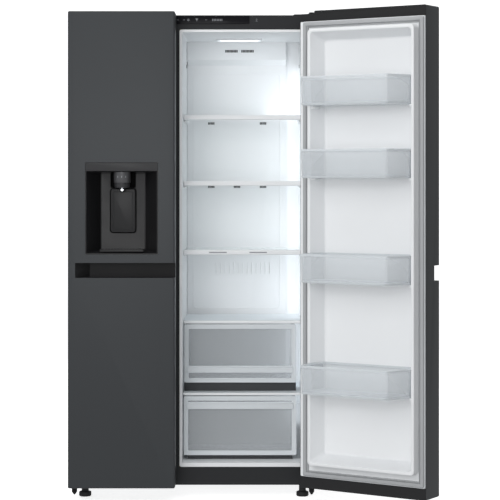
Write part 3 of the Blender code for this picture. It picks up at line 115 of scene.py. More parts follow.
class FridgeColours(bpy.types.PropertyGroup):
    """The object's colours."""

    steel: colour("Door steel", "Painted steel of the doors and the case", (0.0098, 0.0103, 0.0107))
    frame_steel: colour("Front frame", "Dark frame round the compartments", (0.027, 0.028, 0.030))
    moulding: colour("Black mouldings", "Dispenser, end caps and feet", (0.014, 0.014, 0.015))
    strip: colour("Control strip", "Gloss strip over the compartment", (0.008, 0.008, 0.010))
    liner: colour("Liner", "Formed white inner walls", (0.875, 0.887, 0.899))
    seal: colour("Seal", "Door seals", (0.420, 0.430, 0.440))
    clear: colour("Clear plastic", "Bins and drawers", (0.860, 0.900, 0.930))
    glass: colour("Shelf glass", "Glass shelves", (0.780, 0.880, 0.860))
    icons: colour("Icons", "Marks on the control strip", (0.300, 0.310, 0.330))


class FridgeSizes(bpy.types.PropertyGroup):
    """The finishing sizes."""

    door_edge: length("Door edge", "Rounding of the doors' front edges", 0.0065)
    pocket_lip: length("Pocket lip", "Rounding of the handle pockets' edges", 0.0012)
    dyke_round: length("Liner round", "Rounding of the raised wall on the door liners", 0.007)
    bin_lip: length("Bin rim", "Height of the thicker rim of a bin", 0.007)
    drawer_frame: length("Drawer frame", "Width of the frosted frame on a drawer's face", 0.017)
    drawer_grip: length("Drawer grip", "Height of the frosted grip on a drawer's face", 0.027)
    trim_round: length("Shelf trim round", "Rounding of the shelves' front trims", 0.003)


# ---- Outlines ----
def rounded(corners, radius, steps=6):
    """A convex outline with its corners rounded, each by the same number of points."""
    points = []
    for index, corner in enumerate(corners):
        here = Vector(corner)
        before = (Vector(corners[index - 1]) - here).normalized()
        after = (Vector(corners[(index + 1) % len(corners)]) - here).normalized()
        half = before.angle(after) / 2
        centre = here + (before + after).normalized() * (radius / math.sin(half))
        start = here + before * (radius / math.tan(half)) - centre
        end = here + after * (radius / math.tan(half)) - centre
        turn = start.angle_signed(end)
        for step in range(steps + 1):
            points.append(centre + Matrix.Rotation(-turn * step / steps, 2) @ start)
    return points


def rect(limits, radius, steps=6):
    low_a, high_a, low_b, high_b = limits
    return rounded(((low_a, low_b), (high_a, low_b), (high_a, high_b), (low_a, high_b)), radius, steps)


def grown(limits, amount):
    low_a, high_a, low_b, high_b = limits
    return low_a - amount, high_a + amount, low_b - amount, high_b + amount


def circle(centre_a, centre_b, radius, steps=48):
    turns = (2 * math.pi * step / steps for step in range(steps))
    return [Vector((centre_a + radius * math.cos(t), centre_b + radius * math.sin(t))) for t in turns]


def quarter(edge, steps):
    """Insets and depths that round an edge over; with no edge, a plain corner."""
    if edge == 0.0:
        return [(0.0, 0.0)]
    turns = [math.pi / 2 * step / steps for step in range(steps + 1)]
    return [(edge * (1 - math.sin(t)), edge * (1 - math.cos(t))) for t in turns]


# ---- Solids ----
def placed(point, axis, level):
    """A flat point lifted to its level: X takes (Y, Z) points, Y takes (X, Z) and Z takes (X, Y)."""
    a, b = point
    return {"X": (level, a, b), "Y": (a, level, b), "Z": (a, b, level)}[axis]


def stack(sections, axis, ring=False):
    """Joins outlines of equal point counts, each at its level. A ring closes on itself, with no caps."""
    shape = bmesh.new()
    loops = [[shape.verts.new(placed(p, axis, level)) for p in outline] for outline, level in sections]
    pairs = list(zip(loops, loops[1:]))
    if ring:
        pairs.append((loops[-1], loops[0]))
    else:
        shape.faces.new(loops[0])
        shape.faces.new(loops[-1])
    for first, second in pairs:
        for index in range(len(first)):
            shape.faces.new((first[index - 1], first[index], second[index], second[index - 1]))
    return shape


def prism(outline, axis, low, high):
    return stack(((outline, low), (outline, high)), axis)


def box(x0, x1, y0, y1, z0, z1):
    return prism(((x0, z0), (x1, z0), (x1, z1), (x0, z1)), "Y", y0, y1)


def pillow(limits, corner, axis, low, high, low_edge=0.0, high_edge=0.0, steps=4):
    """A slab with rounded corners, and its edges rounded over at either end."""
    sections = []
    for inset, depth in quarter(low_edge, steps):
        sections.append((rect(grown(limits, -inset), max(corner - inset, 0.0004)), low + depth))
    for inset, depth in reversed(quarter(high_edge, steps)):
        sections.append((rect(grown(limits, -inset), max(corner - inset, 0.0004)), high - depth))
    return stack(sections, axis)


def lathe(profile, centre, axis="Z", steps=48):
    """Radius and level pairs turned round an axis; a first and last radius of zero is left open to a cap."""
    return stack([(circle(*centre, radius, steps), level) for radius, level in profile], axis)


def tube(points, radius, sides=12):
    """A pipe along a list of points."""
    rings = []
    for index, point in enumerate(points):
        here = Vector(point)
        before = Vector(points[max(index - 1, 0)])
        after = Vector(points[min(index + 1, len(points) - 1)])
        along = (after - before).to_track_quat("Z", "Y")
        rings.append([here + along @ Vector((*c, 0.0)) for c in circle(0.0, 0.0, radius, sides)])
    shape = bmesh.new()
    loops = [[shape.verts.new(p) for p in ring] for ring in rings]
    shape.faces.new(loops[0])
    shape.faces.new(loops[-1])
    for first, second in zip(loops, loops[1:]):
        for index in range(sides):
            shape.faces.new((first[index - 1], first[index], second[index], second[index - 1]))
    return shape


def merge(shapes):
    """Several shapes as one piece."""
    whole = bmesh.new()
    for shape in shapes:
        verts = {v: whole.verts.new(v.co) for v in shape.verts}
        for face in shape.faces:
            whole.faces.new([verts[v] for v in face.verts])
        shape.free()
    return whole


def frame_ring(outer, inner, corner, axis, low, high, edge=0.0005):
    """A flat ring between two rectangles, its face's edges just broken."""
    inner_corner = max(corner - 0.002, 0.001)
    return stack(
        (
            (rect(outer, corner), high),
            (rect(outer, corner), low + edge),
            (rect(grown(outer, -edge), corner), low),
            (rect(grown(inner, edge), inner_corner), low),
            (rect(inner, inner_corner), low + edge),
            (rect(inner, inner_corner), high),
        ),
        axis,
        ring=True,
    )


# ---- Making pieces ----
def make(name, shape, look, body, stands_for=(), bevel=0.0, angle=32.0):
    """A finished piece on its body, with its look, and what it stands for."""
    bmesh.ops.recalc_face_normals(shape, faces=shape.faces)
    mesh = bpy.data.meshes.new(name)
    shape.to_mesh(mesh)
    shape.free()
    mesh.transform(to_rest(body))
    mesh.materials.append(material(look))
    mesh.shade_smooth()
    mesh.set_sharp_from_angle(angle=math.radians(angle))
    piece = bpy.data.objects.new(name, mesh)
    bpy.context.scene.collection.objects.link(piece)
    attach(piece, body)
    if stands_for:
        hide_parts(*stands_for)
    if bevel:
        soften(piece, bevel)
    return piece


def soften(piece, width, segments=3):
    """Breaks a piece's sharp edges, and keeps its flats flat."""
    bevel = piece.modifiers.new("broken edges", "BEVEL")
    bevel.width = width
    bevel.segments = segments
    bevel.limit_method = "ANGLE"
    bevel.angle_limit = math.radians(40)
    bevel.harden_normals = True
    return piece


def keep(node, look, bevel=0.0):
    """A CAD node that is shown as it is, with a better finish and broken edges."""
    piece = frame["nodes"][node]
    for slot in piece.material_slots:
        slot.material = material(look)
    if bevel:
        soften(piece, bevel, 2)


def cut(piece, name, shape, look, body):
    """Takes a shape out of a piece; the new faces get the given look."""
    bmesh.ops.recalc_face_normals(shape, faces=shape.faces)
    mesh = bpy.data.meshes.new(name)
    shape.to_mesh(mesh)
    shape.free()
    mesh.transform(to_rest(body))
    mesh.materials.append(material(look))
    cutter = bpy.data.objects.new(name, mesh)
    bpy.context.scene.collection.objects.link(cutter)
    modifier = piece.modifiers.new(name, "BOOLEAN")
    modifier.operation = "DIFFERENCE"
    modifier.solver = "EXACT"
    modifier.material_mode = "TRANSFER"
    modifier.object = cutter
    return cutter


def settle(piece, cutters, bevel=0.0, angle=32.0):
    """Turns a piece's cuts into its own mesh and clears the cutters away."""
    bpy.context.view_layer.update()
    graph = bpy.context.evaluated_depsgraph_get()
    mesh = bpy.data.meshes.new_from_object(piece.evaluated_get(graph))
    old = piece.data
    piece.modifiers.clear()
    piece.data = mesh
    bpy.data.meshes.remove(old)
    for cutter in cutters:
        bpy.data.objects.remove(cutter)
    mesh.shade_smooth()
    mesh.set_sharp_from_angle(angle=math.radians(angle))
    if bevel:
        soften(piece, bevel)


# ---- Node groups ----
def new_group(name, inputs, outputs):
    """An empty shader group with its sockets, and its input and output nodes."""
    group = bpy.data.node_groups.new(name, "ShaderNodeTree")
    for label, kind, value in inputs:
        socket = group.interface.new_socket(label, in_out="INPUT", socket_type=kind)
        socket.default_value = value
    for label, kind in outputs:
        group.interface.new_socket(label, in_out="OUTPUT", socket_type=kind)
    start = group.nodes.new("NodeGroupInput")
    end = group.nodes.new("NodeGroupOutput")
    return group, start, end


def add_node(tree, kind, **values):
    node = tree.nodes.new(kind)
    for key, value in values.items():
        setattr(node, key, value)
    return node


def math_node(tree, operation, first, second):
    """A math node between two sockets, or a socket and a number."""
    node = add_node(tree, "ShaderNodeMath", operation=operation)
    for index, value in enumerate((first, second)):
        if isinstance(value, (int, float)):
            node.inputs[index].default_value = value
        else:
            tree.links.new(value, node.inputs[index])
    return node.outputs[0]


def noise(tree, place, scale, detail):
    node = add_node(tree, "ShaderNodeTexNoise")
    node.inputs["Detail"].default_value = detail
    tree.links.new(place, node.inputs["Vector"])
    if isinstance(scale, (int, float)):
        node.inputs["Scale"].default_value = scale
    else:
        tree.links.new(scale, node.inputs["Scale"])
    return node.outputs["Fac"]


def surface_grain():
    """Fine texture of paint or a moulding: a height, and small changes of colour and roughness."""
    if "surface_grain" in bpy.data.node_groups:
        return bpy.data.node_groups["surface_grain"]
    group, start, end = new_group(
        "surface_grain",
        (
            ("Colour", "NodeSocketColor", (0.5, 0.5, 0.5, 1.0)),
            ("Variation", "NodeSocketFloat", 0.1),
            ("Scale", "NodeSocketFloat", 400.0),
            ("Roughness", "NodeSocketFloat", 0.4),
            ("Roughness Variation", "NodeSocketFloat", 0.05),
        ),
        (("Colour", "NodeSocketColor"), ("Roughness", "NodeSocketFloat"), ("Height", "NodeSocketFloat")),
    )
    place = add_node(group, "ShaderNodeTexCoord").outputs["Object"]
    fine = noise(group, place, start.outputs["Scale"], 3.0)
    broad = noise(group, place, 5.0, 2.0)
    swing = math_node(group, "MULTIPLY", math_node(group, "SUBTRACT", broad, 0.5), 2.0)
    shade = add_node(group, "ShaderNodeHueSaturation")
    change = math_node(group, "MULTIPLY", swing, start.outputs["Variation"])
    group.links.new(math_node(group, "ADD", change, 1.0), shade.inputs["Value"])
    group.links.new(start.outputs["Colour"], shade.inputs["Color"])
    group.links.new(shade.outputs["Color"], end.inputs["Colour"])
    both = math_node(group, "ADD", swing, math_node(group, "SUBTRACT", fine, 0.5))
    rough = math_node(group, "MULTIPLY", both, start.outputs["Roughness Variation"])
    group.links.new(math_node(group, "ADD", rough, start.outputs["Roughness"]), end.inputs["Roughness"])
    group.links.new(fine, end.inputs["Height"])
    return group


def edge_wear():
    """Lightens a colour along outside edges, broken up by noise: partly edge wear, partly a painted highlight
    on the edges.
    """
    if "edge_wear" in bpy.data.node_groups:
        return bpy.data.node_groups["edge_wear"]
    group, start, end = new_group(
        "edge_wear",
        (
            ("Colour", "NodeSocketColor", (0.5, 0.5, 0.5, 1.0)),
            ("Worn Colour", "NodeSocketColor", (0.7, 0.7, 0.7, 1.0)),
            ("Amount", "NodeSocketFloat", 0.3),
        ),
        (("Colour", "NodeSocketColor"), ("Mask", "NodeSocketFloat")),
    )
    bend = add_node(group, "ShaderNodeNewGeometry").outputs["Pointiness"]
    place = add_node(group, "ShaderNodeTexCoord").outputs["Object"]
    sharp = add_node(group, "ShaderNodeMapRange")
    sharp.inputs["From Min"].default_value = 0.515
    sharp.inputs["From Max"].default_value = 0.60
    group.links.new(bend, sharp.inputs["Value"])
    broken = math_node(group, "MULTIPLY", sharp.outputs["Result"], noise(group, place, 60.0, 4.0))
    mask = math_node(group, "MULTIPLY", broken, start.outputs["Amount"])
    mix = add_node(group, "ShaderNodeMix", data_type="RGBA")
    group.links.new(mask, mix.inputs["Factor"])
    group.links.new(start.outputs["Colour"], mix.inputs["A"])
    group.links.new(start.outputs["Worn Colour"], mix.inputs["B"])
    group.links.new(mix.outputs["Result"], end.inputs["Colour"])
    group.links.new(mask, end.inputs["Mask"])
    return group


def hand_marks():
    """Faint wiped and touched patches that change how a gloss surface shines."""
    if "hand_marks" in bpy.data.node_groups:
        return bpy.data.node_groups["hand_marks"]
    group, start, end = new_group(
        "hand_marks",
        (
            ("Roughness", "NodeSocketFloat", 0.2),
            ("Strength", "NodeSocketFloat", 0.08),
            ("Scale", "NodeSocketFloat", 9.0),
        ),
        (("Roughness", "NodeSocketFloat"),),
    )
    place = add_node(group, "ShaderNodeTexCoord").outputs["Object"]
    patches = add_node(group, "ShaderNodeMapRange")
    patches.inputs["From Min"].default_value = 0.50
    patches.inputs["From Max"].default_value = 0.72
    group.links.new(noise(group, place, start.outputs["Scale"], 5.0), patches.inputs["Value"])
    extra = math_node(group, "MULTIPLY", patches.outputs["Result"], start.outputs["Strength"])
    group.links.new(math_node(group, "ADD", extra, start.outputs["Roughness"]), end.inputs["Roughness"])
    return group


def place_group(tree, group, **values):
    node = add_node(tree, "ShaderNodeGroup", node_tree=group)
    for label, value in values.items():
        node.inputs[label.replace("_", " ")].default_value = value
    return node


# ---- Materials ----
def blank(name, colour_value, roughness, metallic=0.0):
    made = bpy.data.materials.new(name)
    made.use_nodes = True
    tree = made.node_tree
    shader = tree.nodes["Principled BSDF"]
    shader.inputs["Base Color"].default_value = (*colour_value, 1.0)
    shader.inputs["Roughness"].default_value = roughness
    shader.inputs["Metallic"].default_value = metallic
    made.diffuse_color = (*colour_value, 1.0)
    return made, tree, shader


def textured(name, colour_value, roughness, metallic=0.0, grain=400.0, bump=0.05, depth=0.0002, **extra):
    """A grained surface. extra may give variation, rough_variation, lighter outside edges (part wear, part
    painted highlight), marks, coat and specular.
    """
    made, tree, shader = blank(name, colour_value, roughness, metallic)
    grained = place_group(
        tree,
        surface_grain(),
        Colour=(*colour_value, 1.0),
        Variation=extra.get("variation", 0.05),
        Scale=grain,
        Roughness=roughness,
        Roughness_Variation=extra.get("rough_variation", 0.05),
    )
    tint = grained.outputs["Colour"]
    # Lighter outside edges: partly wear, partly a painted highlight.
    if extra.get("wear"):
        lighter = [min(1.0, c * 2.2 + 0.05) for c in colour_value]
        worn_and_lit = place_group(tree, edge_wear(), Worn_Colour=(*lighter, 1.0), Amount=extra["wear"])
        tree.links.new(tint, worn_and_lit.inputs["Colour"])
        tint = worn_and_lit.outputs["Colour"]
    tree.links.new(tint, shader.inputs["Base Color"])
    rough = grained.outputs["Roughness"]
    if extra.get("marks"):
        marked = place_group(tree, hand_marks(), Strength=extra["marks"], Scale=extra.get("mark_scale", 9.0))
        tree.links.new(rough, marked.inputs["Roughness"])
        rough = marked.outputs["Roughness"]
    tree.links.new(rough, shader.inputs["Roughness"])
    ripple = add_node(tree, "ShaderNodeBump")
    ripple.inputs["Strength"].default_value = bump
    ripple.inputs["Distance"].default_value = depth
    tree.links.new(grained.outputs["Height"], ripple.inputs["Height"])
    tree.links.new(ripple.outputs["Normal"], shader.inputs["Normal"])
    shader.inputs["Coat Weight"].default_value = extra.get("coat", 0.0)
    shader.inputs["Coat Roughness"].default_value = 0.08
    shader.inputs["Specular IOR Level"].default_value = extra.get("specular", 0.5)
    return made


def see_through(name, colour_value, roughness, face_on, edge_on, marks=0.05, bump=0.02):
    """A clear sheet: nearly open when looked at square on, and denser towards its edges."""
    made, tree, shader = blank(name, colour_value, roughness)
    facing = add_node(tree, "ShaderNodeLayerWeight")
    facing.inputs["Blend"].default_value = 0.35
    span = add_node(tree, "ShaderNodeMapRange")
    span.inputs["To Min"].default_value = face_on
    span.inputs["To Max"].default_value = edge_on
    tree.links.new(facing.outputs["Facing"], span.inputs["Value"])
    tree.links.new(span.outputs["Result"], shader.inputs["Alpha"])
    marked = place_group(tree, hand_marks(), Roughness=roughness, Strength=marks)
    tree.links.new(marked.outputs["Roughness"], shader.inputs["Roughness"])
    grained = place_group(tree, surface_grain(), Colour=(*colour_value, 1.0), Variation=0.03, Scale=90.0)
    tree.links.new(grained.outputs["Colour"], shader.inputs["Base Color"])
    ripple = add_node(tree, "ShaderNodeBump")
    ripple.inputs["Strength"].default_value = bump
    ripple.inputs["Distance"].default_value = 0.0005
    tree.links.new(grained.outputs["Height"], ripple.inputs["Height"])
    tree.links.new(ripple.outputs["Normal"], shader.inputs["Normal"])
    made.diffuse_color = (*colour_value, 0.4)
    return made


def glowing(name, colour_value, strength):
    made, _, shader = blank(name, colour_value, 0.4)
    shader.inputs["Emission Color"].default_value = (*colour_value, 1.0)
    shader.inputs["Emission Strength"].default_value = strength
    return made


def looks():
    """Each look's maker, by name."""
    tint = bpy.context.scene.fridge_colours
    steel, frame_steel, moulding = tuple(tint.steel), tuple(tint.frame_steel), tuple(tint.moulding)
    return {
        "black_steel": lambda n: textured(
            n, steel, 0.37, 0.2, 900.0, 0.05, 0.00008, wear=0.04, marks=0.06, mark_scale=4.0, specular=0.20
        ),
        "frame_steel": lambda n: textured(
            n, frame_steel, 0.48, 0.2, 900.0, 0.04, 0.00008, wear=0.06, specular=0.3
        ),
        "moulding": lambda n: textured(n, moulding, 0.50, 0.0, 1400.0, 0.14, 0.00015, wear=0.12, marks=0.05),
        # Darker copy of the moulding colour for the handle pockets' walls: painted shade inside the pockets.
        "pocket": lambda n: textured(n, [c * 0.55 for c in moulding], 0.55, 0.0, 1400.0, 0.14, 0.00015),
        "recess": lambda n: textured(
            n, [c * 0.9 for c in moulding], 0.33, 0.0, 900.0, 0.05, 0.0001, marks=0.08
        ),
        "header": lambda n: textured(
            n, [c * 1.9 for c in moulding], 0.36, 0.0, 900.0, 0.05, 0.0001, marks=0.06
        ),
        # Near black with almost no shine: painted shade in the nozzle's cavity and the gap round the lever,
        # and the dark line of the recess seam.
        "deep_black": lambda n: textured(
            n, (0.002, 0.002, 0.002), 0.6, 0.0, 900.0, 0.05, 0.0001, specular=0.08
        ),
        "strip": lambda n: textured(
            n, tuple(tint.strip), 0.20, 0.0, 300.0, 0.01, 0.0001, marks=0.10, specular=0.08
        ),
        "icon": lambda n: textured(n, tuple(tint.icons), 0.45, 0.0, 500.0, 0.02, 0.0001),
        "liner": lambda n: textured(
            n, tuple(tint.liner), 0.34, 0.0, 260.0, 0.05, 0.0003, variation=0.02, marks=0.05, mark_scale=3.0
        ),
        "seal": lambda n: textured(n, tuple(tint.seal), 0.62, 0.0, 700.0, 0.10, 0.0002, variation=0.06),
        # Pale grey of the seals' outer lip: a painted highlight along the seal's outer edge.
        "seal_edge": lambda n: textured(n, (0.74, 0.76, 0.78), 0.5, 0.0, 700.0, 0.06, 0.0002),
        "clear": lambda n: see_through(n, tuple(tint.clear), 0.10, 0.16, 0.80),
        "clear_rim": lambda n: see_through(n, tuple(tint.clear), 0.16, 0.55, 0.95),
        "frosted": lambda n: see_through(n, tuple(tint.clear), 0.40, 0.78, 0.97, 0.05, 0.10),
        "glass": lambda n: see_through(n, tuple(tint.glass), 0.03, 0.10, 0.70, 0.03, 0.005),
        "shelf_bar": lambda n: textured(n, (0.30, 0.31, 0.33), 0.4, 0.0, 500.0, 0.03, 0.0001),
        "nozzle": lambda n: textured(n, (0.115, 0.115, 0.12), 0.34, 0.4, 600.0, 0.05, 0.0001, marks=0.08),
        "nozzle_ring": lambda n: textured(n, (0.045, 0.045, 0.048), 0.30, 0.2, 600.0, 0.05, 0.0001),
        # A glowing dome: painted highlight on the spout's front, not a lamp.
        "nozzle_light": lambda n: glowing(n, (0.92, 0.96, 1.0), 5.0),
        "lamp": lambda n: glowing(n, (0.93, 0.97, 1.0), 1.3),
        "lamp_cover": lambda n: glowing(n, (0.86, 0.90, 0.93), 0.30),
        "foam": lambda n: textured(n, (0.72, 0.62, 0.36), 0.9, 0.0, 500.0, 0.5, 0.0008, variation=0.15),
        "zinc": lambda n: textured(
            n, (0.42, 0.43, 0.44), 0.38, 0.85, 70.0, 0.04, 0.0003,
            variation=0.14, rough_variation=0.16, wear=0.1,
        ),
        "aluminium": lambda n: textured(
            n, (0.68, 0.69, 0.70), 0.30, 1.0, 500.0, 0.06, 0.0001, variation=0.06
        ),
        "copper": lambda n: textured(n, (0.72, 0.34, 0.20), 0.32, 1.0, 500.0, 0.06, 0.0001, variation=0.15),
        "enamel": lambda n: textured(
            n, (0.008, 0.008, 0.009), 0.38, 0.0, 500.0, 0.06, 0.0002, wear=0.15, specular=0.25
        ),
        "screw": lambda n: textured(n, (0.50, 0.50, 0.51), 0.30, 1.0, 600.0, 0.06, 0.0001, wear=0.2),
        # Dark grey standing for shade: painted shade behind the vents, in the wall notches and in the gaps
        # under the drawers.
        "vent_dark": lambda n: textured(n, (0.05, 0.052, 0.055), 0.6, 0.0, 700.0, 0.05, 0.0001),
    }


def material(look):
    return bpy.data.materials.get(look) or looks()[look](look)


# ---- Stage ----
CAMERA_BACK = 6.433
CAMERA_HEIGHT = 1.184
CAMERA_SIDE = 0.209
CAMERA_LENS = 127.4
CAMERA_SHIFT = -0.145
SENSOR = 36.0
WORLD_WHITE = (0.97, 0.985, 1.0, 1.0)
WORLD_STRENGTH = 0.44
COOL_WHITE = (0.90, 0.955, 1.0)


def area_light(name, place, target, width, height, power, tone=(1.0, 1.0, 1.0)):
    lamp = bpy.data.lights.new(name, "AREA")
    lamp.shape = "RECTANGLE"
    lamp.size = width
    lamp.size_y = height
    lamp.energy = power
    lamp.color = tone
    holder = bpy.data.objects.new(name, lamp)
    holder.location = place
    holder.rotation_euler = (Vector(target) - Vector(place)).to_track_quat("-Z", "Y").to_euler()
    bpy.context.scene.collection.objects.link(holder)


class FRIDGE_OT_stage(bpy.types.Operator):
    """Lays the floor and backdrop, hangs the lights and sets the camera"""

    bl_idname = "fridge.stage"
    bl_label = "Stage"

    def execute(self, context):
        scene = context.scene
        floor = self.sweep()
        self.flag()
        self.lights()
        self.camera(scene)
        scene.view_settings.view_transform = "Standard"
        scene.view_settings.look = "None"
        return {"FINISHED"}

    def sweep(self):
        """A pale floor that curves up into a backdrop."""
        width, front, back, bend, height = 14.0, -14.0, 14.0, 3.0, 9.0
        line = [(front, 0.0), (back - bend, 0.0)]
        for step in range(1, 13):
            turn = math.pi / 2 * step / 12
            line.append((back - bend + bend * math.sin(turn), bend - bend * math.cos(turn)))
        line.append((back, height))
        shape = bmesh.new()
        rows = [[shape.verts.new((x, y, z)) for y, z in line] for x in (-width, width)]
        for index in range(len(line) - 1):
            face = shape.faces.new((rows[0][index], rows[1][index], rows[1][index + 1], rows[0][index + 1]))
            face.material_index = 1 if index > 0 else 0
        mesh = bpy.data.meshes.new("sweep")
        shape.to_mesh(mesh)
        shape.free()
        mesh.shade_smooth()
        for name, glow in (("pale_floor", 0.75), ("pale_backdrop", 0.80)):
            made = textured(name, (0.90, 0.90, 0.90), 0.7, 0.0, 40.0, 0.02, 0.001, variation=0.01)
            shader = made.node_tree.nodes["Principled BSDF"]
            shader.inputs["Emission Color"].default_value = (1.0, 1.0, 1.0, 1.0)
            shader.inputs["Emission Strength"].default_value = glow
            mesh.materials.append(made)
        floor = bpy.data.objects.new("sweep", mesh)
        floor.visible_glossy = False
        floor.visible_diffuse = False
        bpy.context.scene.collection.objects.link(floor)
        return floor

    def flag(self):
        """A black screen out of view to the right, which keeps the studio's white off the open door's end."""
        shape = bmesh.new()
        corners = ((3.0, -5.2, 0.02), (3.0, 0.4, 0.02), (3.0, 0.4, 3.4), (3.0, -5.2, 3.4))
        shape.faces.new([shape.verts.new((MIDDLE_X + x, y, z)) for x, y, z in corners])
        mesh = bpy.data.meshes.new("flag")
        shape.to_mesh(mesh)
        shape.free()
        cloth = textured("flag_cloth", (0.004, 0.004, 0.004), 0.95, 0.0, 300.0, 0.3, 0.001, specular=0.0)
        mesh.materials.append(cloth)
        flag = bpy.data.objects.new("flag", mesh)
        flag.visible_camera = False
        bpy.context.scene.collection.objects.link(flag)
        return flag

    def lights(self):
        """Soft studio lights, one that only gives the doors their sheen, and washes in the compartment."""
        world = bpy.data.worlds.new("studio")
        bpy.context.scene.world = world
        world.use_nodes = True
        world.node_tree.nodes["Background"].inputs["Color"].default_value = WORLD_WHITE
        world.node_tree.nodes["Background"].inputs["Strength"].default_value = WORLD_STRENGTH
        centre = (MIDDLE_X, FRONT_Y + 0.2, 0.95)
        area_light("key", (MIDDLE_X - 1.9, FRONT_Y - 4.2, 3.2), centre, 2.6, 2.6, 60.0)
        area_light("front", (MIDDLE_X - 0.6, FRONT_Y - 5.4, 1.5), centre, 2.2, 2.4, 92.0)
        upper_doors = (MIDDLE_X - 0.2, FRONT_Y, 1.35)
        area_light("sheen", (MIDDLE_X - 0.4, FRONT_Y - 5.2, 1.45), upper_doors, 1.2, 0.5, 12.5)
        area_light("top", (MIDDLE_X, FRONT_Y - 0.2, 4.4), centre, 3.5, 2.5, 40.0)
        area_light("back", (MIDDLE_X - 1.0, FRONT_Y + 3.6, 3.0), centre, 3.0, 2.0, 60.0)
        for name in ("key", "front"):
            bpy.data.objects[name].visible_glossy = False
        sheen = bpy.data.objects["sheen"]
        sheen.visible_diffuse = False
        sheen.visible_transmission = False
        sheen.visible_camera = False
        liner = Seat("fresh_food_liner")
        mouth = (liner.mid_x, liner.y0 + 0.02, liner.mid_z)
        area_light("inside", mouth, (liner.mid_x, liner.y1, liner.mid_z), 0.36, 1.45, 0.35, COOL_WHITE)
        middle = (liner.mid_x, liner.mid_y, liner.mid_z)
        for name, side in (("left_wash", liner.x0), ("right_wash", liner.x1)):
            area_light(name, middle, (side, liner.mid_y, liner.mid_z), 0.40, 1.40, 0.85, COOL_WHITE)
        high = (liner.mid_x, liner.mid_y, liner.z1 - 0.30)
        ceiling = (liner.mid_x, liner.mid_y + 0.001, liner.z1)
        area_light("top_wash", high, ceiling, 0.24, 0.34, 0.25, COOL_WHITE)
        for name in ("inside", "left_wash", "right_wash", "top_wash"):
            bpy.data.objects[name].visible_camera = False
            bpy.data.objects[name].visible_glossy = False

    def camera(self, scene):
        data = bpy.data.cameras.new("camera")
        data.lens = CAMERA_LENS
        data.sensor_width = SENSOR
        data.shift_y = CAMERA_SHIFT
        data.clip_end = 60.0
        camera = bpy.data.objects.new("camera", data)
        camera.location = (MIDDLE_X + CAMERA_SIDE, FRONT_Y - CAMERA_BACK, CAMERA_HEIGHT)
        camera.rotation_euler = (math.pi / 2, 0.0, 0.0)
        scene.collection.objects.link(camera)
        scene.camera = camera


# ---- Case ----
SCREW_RADIUS = 0.0045


def screw_head(x, y, z, axis, out, radius=SCREW_RADIUS):
    """A domed hexagon flange screw, its head standing out along an axis by the sign of out."""
    centre = {"X": (y, z), "Y": (x, z), "Z": (x, y)}[axis]
    start = {"X": x, "Y": y, "Z": z}[axis]
    profile = ((1.0, 0.0), (1.0, 0.22), (0.80, 0.34), (0.72, 0.36), (0.72, 0.70), (0.60, 0.85), (0.30, 0.90))
    levels = [(circle(*centre, radius * w, 18 if k < 3 else 18), start + out * radius * h)
              for k, (w, h) in enumerate(profile)]
    return stack(levels, axis)


PANEL_RIBS = 5
PANEL_RIB_HALF = 0.040
PANEL_SCREW_EDGE = 0.012
PANEL_SCREW_ROWS = 8


class FRIDGE_OT_case(bpy.types.Operator):
    """Finishes the painted case, its front frame, foam and rear panel"""

    bl_idname = "fridge.case"
    bl_label = "Case"

    def execute(self, context):
        keep("outer_shell", "black_steel", 0.0006)
        keep("front_frame", "frame_steel", 0.0006)
        for node in BODY_OF:
            if node.endswith("_foam"):
                keep(node, "foam")
        keep("base_pan", "zinc")
        self.rear_panel()
        self.mullion()
        return {"FINISHED"}

    def rear_panel(self):
        """A pressed sheet with long ribs, and rows of screws down both sides and along the top."""
        seat = Seat("rear_panel")
        keep("rear_panel", "zinc")
        back = seat.y1
        ribs = []
        for step in range(PANEL_RIBS):
            centre = seat.x0 + (seat.x1 - seat.x0) * (step + 0.5) / PANEL_RIBS
            limits = (centre - PANEL_RIB_HALF, centre + PANEL_RIB_HALF, seat.z0 + 0.10, seat.z1 - 0.12)
            ribs.append(pillow(limits, 0.012, "Y", back - 0.0005, back + 0.0030, 0.0, 0.0028))
        make("rear_panel_ribs", merge(ribs), "zinc", "case")
        screws = []
        for step in range(PANEL_SCREW_ROWS + 1):
            height = seat.z0 + 0.02 + (seat.z1 - seat.z0 - 0.04) * step / PANEL_SCREW_ROWS
            for side in (seat.x0 + PANEL_SCREW_EDGE, seat.x1 - PANEL_SCREW_EDGE):
                screws.append(screw_head(side, back, height, "Y", 1))
        for step in range(1, PANEL_RIBS):
            across = seat.x0 + (seat.x1 - seat.x0) * step / PANEL_RIBS
            screws.append(screw_head(across, back, seat.z1 - PANEL_SCREW_EDGE, "Y", 1))
        make("rear_panel_screws", merge(screws), "screw", "case")

    def mullion(self):
        """The raised cover down the middle of the frame, between the two seals."""
        frame_seat = Seat("front_frame")
        left, right = Seat("freezer_liner"), Seat("fresh_food_liner")
        limits = (left.x1 + 0.002, right.x0 - 0.002, right.z0 + 0.004, right.z1 - 0.004)
        shape = pillow(limits, 0.002, "Y", frame_seat.y0 - 0.0002, frame_seat.y0 + 0.001, 0.0002)
        make("mullion_cover", shape, "frame_steel", "case")


